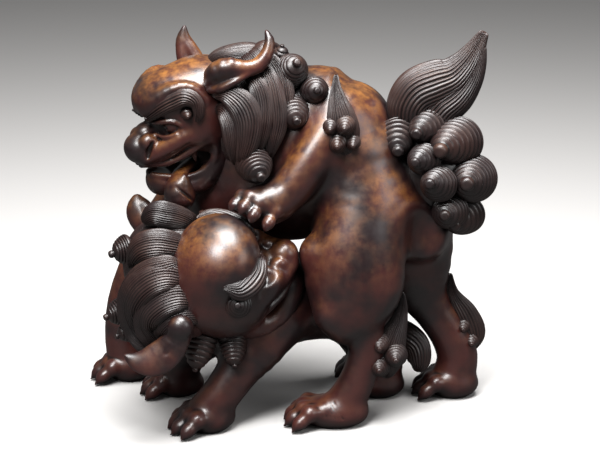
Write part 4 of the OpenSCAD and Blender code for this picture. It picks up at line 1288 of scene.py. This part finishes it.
@dataclass
class LionMane:
    """Mane core, swept locks, curls and flame tufts of the parent."""

    core_at: tuple[float, float, float] = (-42.0, 14.0, 265.0)

    def build(self, kiln: Kiln) -> None:
        """Builds and dresses all hair of head and shoulders."""
        x, y, z = self.core_at
        core = [
            (x - 12, y + 4, z + 50, 26, 30), (x - 2, y + 2, z + 32, 34, 48), (x, y, z, 38, 55),
            (x - 2, y, z - 28, 34, 48), (x - 4, y, z - 54, 18, 26),
        ]
        crest = [
            (-80, 6, 306, 8, 5), (-69, 6, 313, 15, 8), (-55, 7, 316, 20, 9.5), (-40, 9, 316, 21, 10),
            (-24, 12, 310, 16, 8.5), (-8, 14, 298, 7, 5),
        ]
        kiln.fire("lion_mane", Lock(core, (0, -1, 0.1), 110, 1.3, along=48).mesh(), Work.COMBED)
        kiln.fire("lion_crest", Lock(crest, UP, 44, 1.0).mesh(), Work.COMBED)
        self._locks(kiln)
        curls = [
            ((-39, -40, 234), (-33, -58, 227), 16.0, 7.0),
            ((-16, -3, 316), (-15, -6, 325), 7.5, 2.5),
            ((-8, -12, 305), (-3, -28, 315), 15.0, 7.0),
            ((12, -18, 290), (14, -36, 294), 12.5, 4.0),
            ((-6, -22, 274), (-3, -42, 270), 15.0, 6.0),
        ]
        kiln.fire_curls("lion_mane_curl", [Snail(b, t, r, None, turns, dome=1.8) for b, t, r, turns in curls])
        self._tufts(kiln)

    def _locks(self, kiln: Kiln) -> None:
        """Front and back locks of a few strands each; the far ones mirror the near ones across the core."""
        front = [
            [
                (-72.5, -30, 290, 4, 5), (-60.5, -38, 291.5, 9, 8), (-48.5, -43, 283, 13, 9),
                (-43, -46, 270.5, 13.5, 9), (-43.5, -47, 256, 11.5, 9), (-46.5, -46, 242, 7.5, 8),
                (-49, -42, 231.5, 2.5, 4),
            ],
            [
                (-69, -26, 276, 4, 4), (-62, -36, 276, 8, 7), (-57, -42, 266, 9, 8),
                (-55, -44, 253, 8.5, 8), (-54, -43, 241, 6, 6), (-53, -40, 231, 2, 3),
            ],
        ]
        back = [
            [
                (-34, -20, 316, 5, 6), (-25.5, -29, 301, 8.5, 8), (-22, -34, 286, 10.5, 9),
                (-20.5, -37, 270, 11, 9), (-22, -39, 257, 9, 8), (-24, -40, 245, 5, 6),
                (-26, -39, 235, 1.5, 3),
            ],
            [
                (-44, -27, 306, 5, 6), (-35, -35, 297, 9, 8), (-31, -40, 282, 10, 8),
                (-31.5, -43, 265, 9, 8), (-34.5, -43, 250, 6, 6), (-37, -40, 240, 2, 3),
            ],
            [
                (-30, -12, 322, 4, 5), (-19, -19, 308, 8.5, 7), (-14, -25, 292, 9.5, 8),
                (-13, -29, 278, 8, 7), (-18, -31, 263, 4, 5),
            ],
        ]
        for name, near in {"front": front, "back": back}.items():
            far = [[(x, 2 * self.core_at[1] - y, *rest) for x, y, *rest in path] for path in near]
            kiln.fire(f"lion_lock_{name}_left", combed(near, (-0.2, -1, 0.1), 32), Work.COMBED)
            kiln.fire(f"lion_lock_{name}_right", combed(far, (-0.2, 1, 0.1), 32), Work.COMBED)

    def _tufts(self, kiln: Kiln) -> None:
        """Flame tufts on shoulders and hocks; the far shoulder's is the near one's, turned over and moved."""
        shoulder = [
            (30, -27, 306, 0.06, 0.06), (30, -32, 295.5, 0.15, 0.13), (31.5, -36, 284.5, 0.28, 0.2),
            (34, -39, 272.5, 0.41, 0.27), (36, -40, 259, 0.46, 0.28), (35, -39, 245, 0.34, 0.24),
            (33.5, -36, 234, 0.12, 0.1),
        ]
        shoulder_curls = [
            ((25.5, -44, 265), (24.5, -55, 264.5), 7.0),
            ((37.5, -46, 266.5), (36.5, -58, 266), 8.6),
            ((31.5, -46, 251.5), (30.5, -58, 251), 8.6),
            ((43.5, -44, 252), (43.5, -55, 251), 7.0),
        ]
        hock = [
            (87.5, -36, 119, 0.06, 0.06), (88, -38, 107, 0.14, 0.12), (85, -40, 94, 0.26, 0.2),
            (80, -42, 80, 0.4, 0.27), (76, -43, 66, 0.48, 0.3), (75, -43, 53.5, 0.4, 0.27),
            (75.5, -41, 42.5, 0.14, 0.13),
        ]
        hock_curls = [
            ((68.5, -48, 76), (67.5, -59, 75.5), 9.6),
            ((82, -49, 66), (81.5, -61, 65.5), 10.6),
            ((68.5, -48, 56.5), (67.5, -60, 56), 10.8),
        ]
        far_hock = [
            (134, 26, 116, 0.07, 0.07), (137, 27, 97, 0.2, 0.16), (148, 28, 76, 0.42, 0.28),
            (154, 29, 57, 0.46, 0.3), (149, 30, 40, 0.2, 0.16),
        ]
        far_curls = [((148, 27, 68), (146, 13, 67), 8.5), ((155, 28, 54), (154, 14, 53), 9.0)]
        places, quads = Tuft(shoulder, 34, shoulder_curls, 4.0).mesh()
        tufts = {
            "shoulder_tuft_left": (places, quads),
            "shoulder_tuft_right": outward(places * [1, -1, 1] + [-58, 48, -34], quads),
            "hock_tuft_left": Tuft(hock, 38, hock_curls, 5.0).mesh(),
            "hock_tuft_right": Tuft(far_hock, 28, far_curls, 5.0).mesh(),
        }
        for name, mesh in tufts.items():
            kiln.fire("lion_" + name, mesh, Work.COMBED)


@dataclass
class LionTail:
    """Tail root and ball, ringed with curls, under a flame plume."""

    plume_depth: float = 18.0
    ring_depth: float = 0.2
    grain: float = 1.4

    def build(self, kiln: Kiln) -> None:
        """Builds and dresses root, plume and curls."""
        clay = Clay((56, -60, 150), (172, 56, 278), self.grain)
        root = [(86, -4, 178, 20, 18), (98, -4, 196, 19, 18), (112, -4, 212, 17, 17)]
        balls = [((116, -2, 214), (32, 30, 33)), ((104, 0, 240), (24, 20, 20)), ((130, 2, 196), (22, 22, 22))]
        clay.add("root", 10, Limb(root, DEEP, 8), *[Ball(*ball) for ball in balls])
        kiln.fire("lion_tail_root", clay.piece("root", 2), Work.HIDDEN)
        kiln.fire("lion_tail_plume", self._plume(), Work.COMBED)
        kiln.fire_curls("lion_tail_curl", self._curls())

    def _plume(self) -> Mesh:
        """Flame that swells to the left, runs to the right and turns up to a blunt tip, with a lobe below."""
        flame = [
            (98, -4, 244, 15, 0.6), (92, -4, 260, 17, 0.85), (92, -4, 274, 19, 1.0),
            (100, -4, 286, 21, 1.0), (115, -4, 293, 21, 1.0), (129, -4, 299, 18, 0.9),
            (139, -4, 309, 14, 0.75), (146, -4, 320, 10, 0.55), (151, -4, 330, 6.5, 0.36),
            (155, -4, 338, 4.0, 0.2),
        ]
        lobe = [
            (110, -4, 246, 14, 0.7), (112, -4, 260, 17, 0.9), (120, -4, 273, 18, 0.95),
            (133, -4, 284, 16, 0.9), (143, -4, 297, 12, 0.75), (149, -4, 312, 8.5, 0.55),
            (153, -4, 327, 4.0, 0.3),
        ]
        strands = [scaled(path, 1.0, self.plume_depth) for path in (flame, lobe)]
        return joined(*[Lock(rows, DEEP, 36, 1.5, along=84, blunt=0.04).mesh() for rows in strands])

    def _curls(self) -> Iterator[Snail]:
        """Shell-like curls, turned to the viewer or, behind the ball, away: base, tip, radius and turns."""
        curls = [
            ((83, -14, 252), (82, -32, 243), 16.0, 5.0),
            ((109, -14, 259), (98, -31, 257), 16.0, 5.0),
            ((134, -14, 246), (118, -37, 244), 22.0, 7.0),
            ((105, -30, 234), (96, -47, 236), 14.0, 4.5),
            ((117, -36, 214), (108, -53, 219), 15.5, 5.0),
            ((147, -16, 214), (140, -40, 216), 21.5, 7.0),
            ((128, -24, 187), (122, -42, 189), 16.0, 5.0),
            ((142, -8, 180), (132, -28, 177), 18.0, 5.0),
            ((126, 22, 222), (130, 46, 228), 20.0, 6.0),
        ]
        for base, tip, radius, turns in curls:
            aside = 0.9 * np.array(NEAR if base[1] < 10 else DEEP)
            face = unit(unit(np.subtract(tip, base)) + aside)
            yield Snail(base, tip, radius, tuple(face), turns, nub=0.32, groove=self.ring_depth, dome=1.5)


@dataclass
class CubBody:
    """Torso, legs and stub tail of the cub."""

    torso_size: tuple[float, float] = (68.0, 68.0)
    wrist: tuple[float, float] = (33.0, 31.0)
    shoulder: tuple[float, float] = (56.0, 42.0)
    paw_width: float = 40.0
    toe: float = 13.5
    grain: float = 1.5

    def build(self, kiln: Kiln) -> None:
        """Builds and dresses the six pieces."""
        clay = Clay((-156, -86, -4), (112, 100, 132), self.grain)
        path = [
            (-92, -16, 84, 0.3, 0.3), (-72, -18, 86, 0.92, 0.92), (-38, -10, 94, 1.14, 1.12),
            (0, 12, 100, 1.16, 1.2), (36, 32, 90, 1.1, 1.1), (66, 40, 66, 0.8, 0.8), (88, 38, 54, 0.3, 0.3),
        ]
        w, h = self.torso_size
        clay.add("cub_torso", 10, Limb(scaled(path, w / 2, h / 2), UP, 16))
        self._legs(clay)
        clay.level(0.0)
        for node in clay.owners:
            kiln.fire(node, clay.piece(node, 3), Work.SKIN)
        tail = [
            (80, 36, 58, 12, 11), (94, 28, 58, 12, 12), (105, 18, 50, 12, 11), (107, 12, 36, 10, 9),
            (104, 10, 28, 3, 3),
        ]
        kiln.fire("cub_tail", Lock(tail, DEEP, 22).mesh(), Work.COMBED)

    def _legs(self, clay: Clay) -> None:
        """Crouching legs: path, place of the paw and the way it points in degrees."""
        near_fore = [
            (-22, -26, 94, 1.0), (-36, -38, 74, 0.75), (-52, -46, 53, 0.22), (-66, -52, 34, 0.05),
            (-80, -55, 16, 0.1),
        ]
        far_fore = [(-62, -4, 88, 1.0), (-84, 10, 66, 0.7), (-102, 20, 42, 0.2), (-112, 25, 18, 0.1)]
        legs = {
            "fore_left": (near_fore, (-86, -57, 0), 196.0),
            "fore_right": (far_fore, (-118, 28, 0), 180.0),
            "hind_left": ([(58, 28, 66, 0.8), (70, 24, 42, 0.6), (74, 24, 18, 0.1)], (64, 24, 0), 180.0),
            "hind_right": ([(50, 52, 66, 1.0), (60, 66, 42, 0.7), (66, 70, 18, 0.1)], (60, 70, 0), 180.0),
        }
        for name, (path, at, degrees) in legs.items():
            node = "cub_leg_" + name
            clay.add(node, 12, Limb(leg(path, self.wrist, self.shoulder), DEEP, 12))
            x, y = math.cos(math.radians(degrees)), math.sin(math.radians(degrees))
            Paw(at, (x, y, 0), (-y, x, 0), self.paw_width, self.toe).press(clay, node)


@dataclass
class CubMane:
    """Ears, mane core, swept locks and curls of the cub."""

    core_at: tuple[float, float, float] = (-110.0, -36.0, 136.0)
    lean: tuple[float, float, float] = (-0.4, -0.8, 0.4)
    ear_width: float = 32.0

    def build(self, kiln: Kiln) -> None:
        """Builds and dresses all hair and the ears."""
        x, y, z = self.core_at
        core = [
            (x + 34, y, z, 30, 30), (x + 20, y, z, 42, 44), (x, y, z, 46, 50), (x - 22, y, z - 4, 38, 42),
            (x - 38, y, z - 8, 16, 18),
        ]
        side = [
            (-100, -80, 159, 5, 5), (-110, -82, 157, 9, 7), (-124, -80, 152, 10, 8),
            (-136, -76, 141, 10, 8), (-145, -70, 124, 8.5, 7), (-147, -64, 105, 6, 6),
            (-143, -58, 85, 3, 3),
        ]
        mass = [Lock(core, UP, 110, 1.3, 0.12, along=48), Lock(side, tuple(unit(self.lean)), 28)]
        kiln.fire("cub_mane", joined(*[lock.mesh() for lock in mass]), Work.COMBED)
        self._locks(kiln)
        self._curls(kiln)
        kiln.fire("cub_ear_right", self._near_ear().mesh(), Work.SKIN)
        kiln.fire("cub_ear_left", self._far_ear().mesh(), Work.SKIN)

    def _locks(self, kiln: Kiln) -> None:
        """Top and middle locks of one sheet each, and the low lock of three that sweep behind the ear."""
        top = [
            (-84, -38, 178, 4, 6), (-96.5, -46, 186, 9, 8), (-110, -52, 191, 11.5, 9),
            (-121, -52, 192, 11, 9), (-130, -47, 184, 5, 6),
        ]
        middle = [
            (-88, -56, 162, 5, 6), (-103, -66, 169, 11, 8), (-118, -70, 171.5, 13.5, 9),
            (-131, -68, 167, 13, 9), (-138, -62, 156, 8, 7), (-139, -56, 145, 3, 4),
        ]
        low = [
            [
                (-85, -60, 133, 4.4, 4.1), (-95, -78, 145, 10.4, 6.6), (-109, -86, 150, 13.7, 6.6),
                (-123, -87, 146, 15, 6.6), (-135, -84, 134.5, 15, 6.6), (-141.5, -78, 117.5, 13, 5.7),
                (-138, -74, 100, 11.5, 5.5), (-129, -76, 87, 10, 5), (-116, -76, 79, 3, 2.5),
            ],
            [
                (-73, -64, 116.5, 4.4, 4.1), (-87, -82, 129.5, 9.8, 6.6), (-101, -90, 133.5, 13.7, 6.6),
                (-115, -92, 128.5, 14.3, 6.6), (-125.5, -90, 117.5, 13.7, 6.6),
                (-127.5, -86, 104, 11.5, 5.4), (-121, -84, 91, 8.5, 4.6), (-112, -80, 82, 2.9, 2.5),
            ],
            [
                (-68, -64, 104, 4.2, 4.1), (-82, -82, 115.5, 9.1, 5.7), (-96.5, -91, 118.5, 11.7, 5.7),
                (-108.5, -93, 113.5, 11.7, 5.7), (-115.5, -91, 104, 9.1, 4.9), (-114, -86, 92.5, 2.9, 2.5),
            ],
        ]
        for name, paths in {"top": [top], "middle": [middle], "low": low}.items():
            kiln.fire("cub_lock_" + name, combed(paths, tuple(unit(self.lean)), 38), Work.COMBED)

    def _curls(self, kiln: Kiln) -> None:
        """Fourth and fifth curl, ringed cones under the chin, and three snail curls at the rim."""
        chin = {
            4: [((-82, -60, 94), (-88, -76, 64), 15.0)],
            5: [((-58, -56, 86), (-55, -72, 66), 12.5), ((-63, -60, 92), (-63, -71, 90), 9.0)],
        }
        for number, cones in chin.items():
            wound = [Snail(*cone, turns=8.0, nub=0.16, groove=0.12, dome=1.9).mesh() for cone in cones]
            kiln.fire(f"cub_mane_curl_{number}", joined(*wound), Work.WOUND)
        rim = [
            ((-146, -44, 159), (-157, -49, 157), 13.5, 6.0),
            ((-152, -50, 106), (-163, -55, 103), 12.0, 6.0),
            ((-144, -53, 90), (-154, -58, 87), 10.0, 5.0),
        ]
        kiln.fire_curls("cub_mane_curl", [Snail(b, t, r, None, turns, dome=1.7) for b, t, r, turns in rim])

    def _near_ear(self) -> Ear:
        """Drooping leaf under a rounded fold, its tip to the left."""
        path = [
            (-87, -74, 100, 0.24, 0.27), (-97, -88, 103, 0.31, 0.31), (-102, -96, 97, 0.36, 0.25),
            (-108, -99, 89, 0.42, 0.18), (-117, -101, 82.5, 0.44, 0.14), (-126.5, -101, 79.5, 0.38, 0.12),
            (-136, -99.5, 80, 0.25, 0.09), (-145, -97, 84, 0.06, 0.05),
        ]
        fold = [(-87, -101, 101.5, 1.6), (-95, -107, 97.5, 2), (-103, -107, 94, 1.8), (-110, -105, 88, 1)]
        bulb, crease = (2.5, Ball((-98.5, -97, 108.5), (11, 10, 11))), (1.5, Limb(fold, UP, 10))
        low, high = (-164, -120, 52), (-52, -44, 136)
        return Ear(low, high, self.ear_width, path, (0, 0.9, -0.4), 18, crease, bulb, soft=2)

    def _far_ear(self) -> Ear:
        """Upright ear behind the mane."""
        path = [
            (-108, -22, 150, 0.24, 0.2), (-126, -10, 166, 0.38, 0.24), (-136, -5, 177, 0.42, 0.22),
            (-140, -2, 186, 0.34, 0.18), (-141, 0, 193, 0.14, 0.1),
        ]
        fold = [(-116, -20, 166, 3), (-128, -14, 178, 3.5), (-136, -9, 188, 1.2)]
        return Ear((-168, -40, 132), (-92, 26, 208), self.ear_width, path, DEEP, 12, (2.5, Limb(fold, UP, 8)))


@dataclass
class Studio:
    """Floor, soft lights and the camera at the photographed angle.

    Lengths are in metres, and the aim is in clay millimetres. Floor and surround are pale to the camera and
    darker to other rays, so that the sheen doesn't mirror them.
    """

    elevation: float = 16.0
    distance: float = 1.4
    aim: tuple[float, float, float] = (0.0, 0.0, 168.0)
    focal_pixels: float = 1610.0
    image_width: float = 600.0
    sensor: float = 36.0
    floor_half: float = 6.0
    floor_tones: tuple[str, str] = ("#3c3a39", "#cfcdcb")
    floor_roughness: float = 0.7
    surround: str = "#f1f1f2"
    surround_levels: tuple[float, float] = (0.14, 0.5)
    lit_height: float = 0.17

    def build(self) -> None:
        """Sets the stage."""
        self._floor()
        self._world()
        self._lamps()
        self._camera()

    def _floor(self) -> None:
        """Plain paper floor."""
        bm = bmesh.new()
        bmesh.ops.create_grid(bm, x_segments=1, y_segments=1, size=self.floor_half)
        data = bpy.data.meshes.new("floor")
        bm.to_mesh(data)
        bm.free()
        mat = bpy.data.materials.new("pale_paper")
        mat.use_nodes = True
        tree = mat.node_tree
        bsdf = tree.nodes["Principled BSDF"]
        ray = add_node(tree, "ShaderNodeLightPath").outputs["Is Camera Ray"]
        dark, pale = (linear(code) for code in self.floor_tones)
        tone = add_node(tree, "ShaderNodeMix", {"0": ray}, data_type="RGBA", in_6=dark, in_7=pale)
        tree.links.new(tone.outputs[2], bsdf.inputs["Base Color"])
        bsdf.inputs["Roughness"].default_value = self.floor_roughness
        data.materials.append(mat)
        floor = bpy.data.objects.new("floor", data)
        bpy.context.scene.collection.objects.link(floor)

    def _world(self) -> None:
        """Even surround."""
        world = bpy.data.worlds.new("surround")
        bpy.context.scene.world = world
        world.use_nodes = True
        tree = world.node_tree
        shade = tree.nodes["Background"]
        shade.inputs["Color"].default_value = linear(self.surround)
        ray = add_node(tree, "ShaderNodeLightPath").outputs["Is Camera Ray"]
        dim, full = self.surround_levels
        level = add_node(tree, "ShaderNodeMapRange", {"0": ray}, in_3=dim, in_4=full)
        tree.links.new(level.outputs[0], shade.inputs["Strength"])

    def _lamps(self) -> None:
        """Soft boxes: key from the upper left front, fill from the right, one overhead."""
        boxes = {  # place, size and watts
            "key": ((-0.45, -1.0, 1.35), 0.6, 30.0),
            "fill": ((1.25, -0.75, 0.85), 0.7, 5.0),
            "top": ((0.1, -0.28, 1.46), 0.8, 48.0),
        }
        for name, (place, size, power) in boxes.items():
            lamp = bpy.data.lights.new(name, "AREA")
            lamp.shape = "SQUARE"
            lamp.size = size
            lamp.energy = power
            self._hang(bpy.data.objects.new(name, lamp), Vector(place), Vector((0.0, 0.0, self.lit_height)))

    def _camera(self) -> None:
        """Camera of the photograph."""
        aim = Vector((np.asarray(self.aim) - MIDDLE) * MM)
        e = math.radians(self.elevation)
        data = bpy.data.cameras.new("camera")
        data.sensor_width = self.sensor
        data.lens = self.focal_pixels / self.image_width * self.sensor
        camera = bpy.data.objects.new("camera", data)
        self._hang(camera, aim + self.distance * Vector((0.0, -math.cos(e), math.sin(e))), aim)
        bpy.context.scene.camera = camera

    @staticmethod
    def _hang(holder: bpy.types.Object, place: Vector, target: Vector) -> None:
        """Places a lamp or camera and points it at a target."""
        holder.location = place
        holder.rotation_euler = (target - place).to_track_quat("-Z", "Y").to_euler()
        bpy.context.scene.collection.objects.link(holder)


def main() -> None:
    """Builds the ornament and its stage."""
    logging.basicConfig(level=logging.INFO, format="%(name)s %(message)s")
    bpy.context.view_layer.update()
    bpy.context.scene.view_settings.view_transform = "Standard"
    kiln = Kiln()
    lion_head = Head("lion", LION_POSE, Mouth.SNARLING, LION_FOREHEAD, LION_NOSE, LION_BROW)
    cub_head = Head("cub", CUB_POSE, Mouth.SHUT, CUB_FOREHEAD, CUB_NOSE, CUB_BROW)
    for part in (LionBody(), lion_head, LionTrim(), LionMane(), LionTail(), CubBody(), cub_head, CubMane()):
        part.build(kiln)
    Studio().build()


if __name__ == "__main__":
    main()
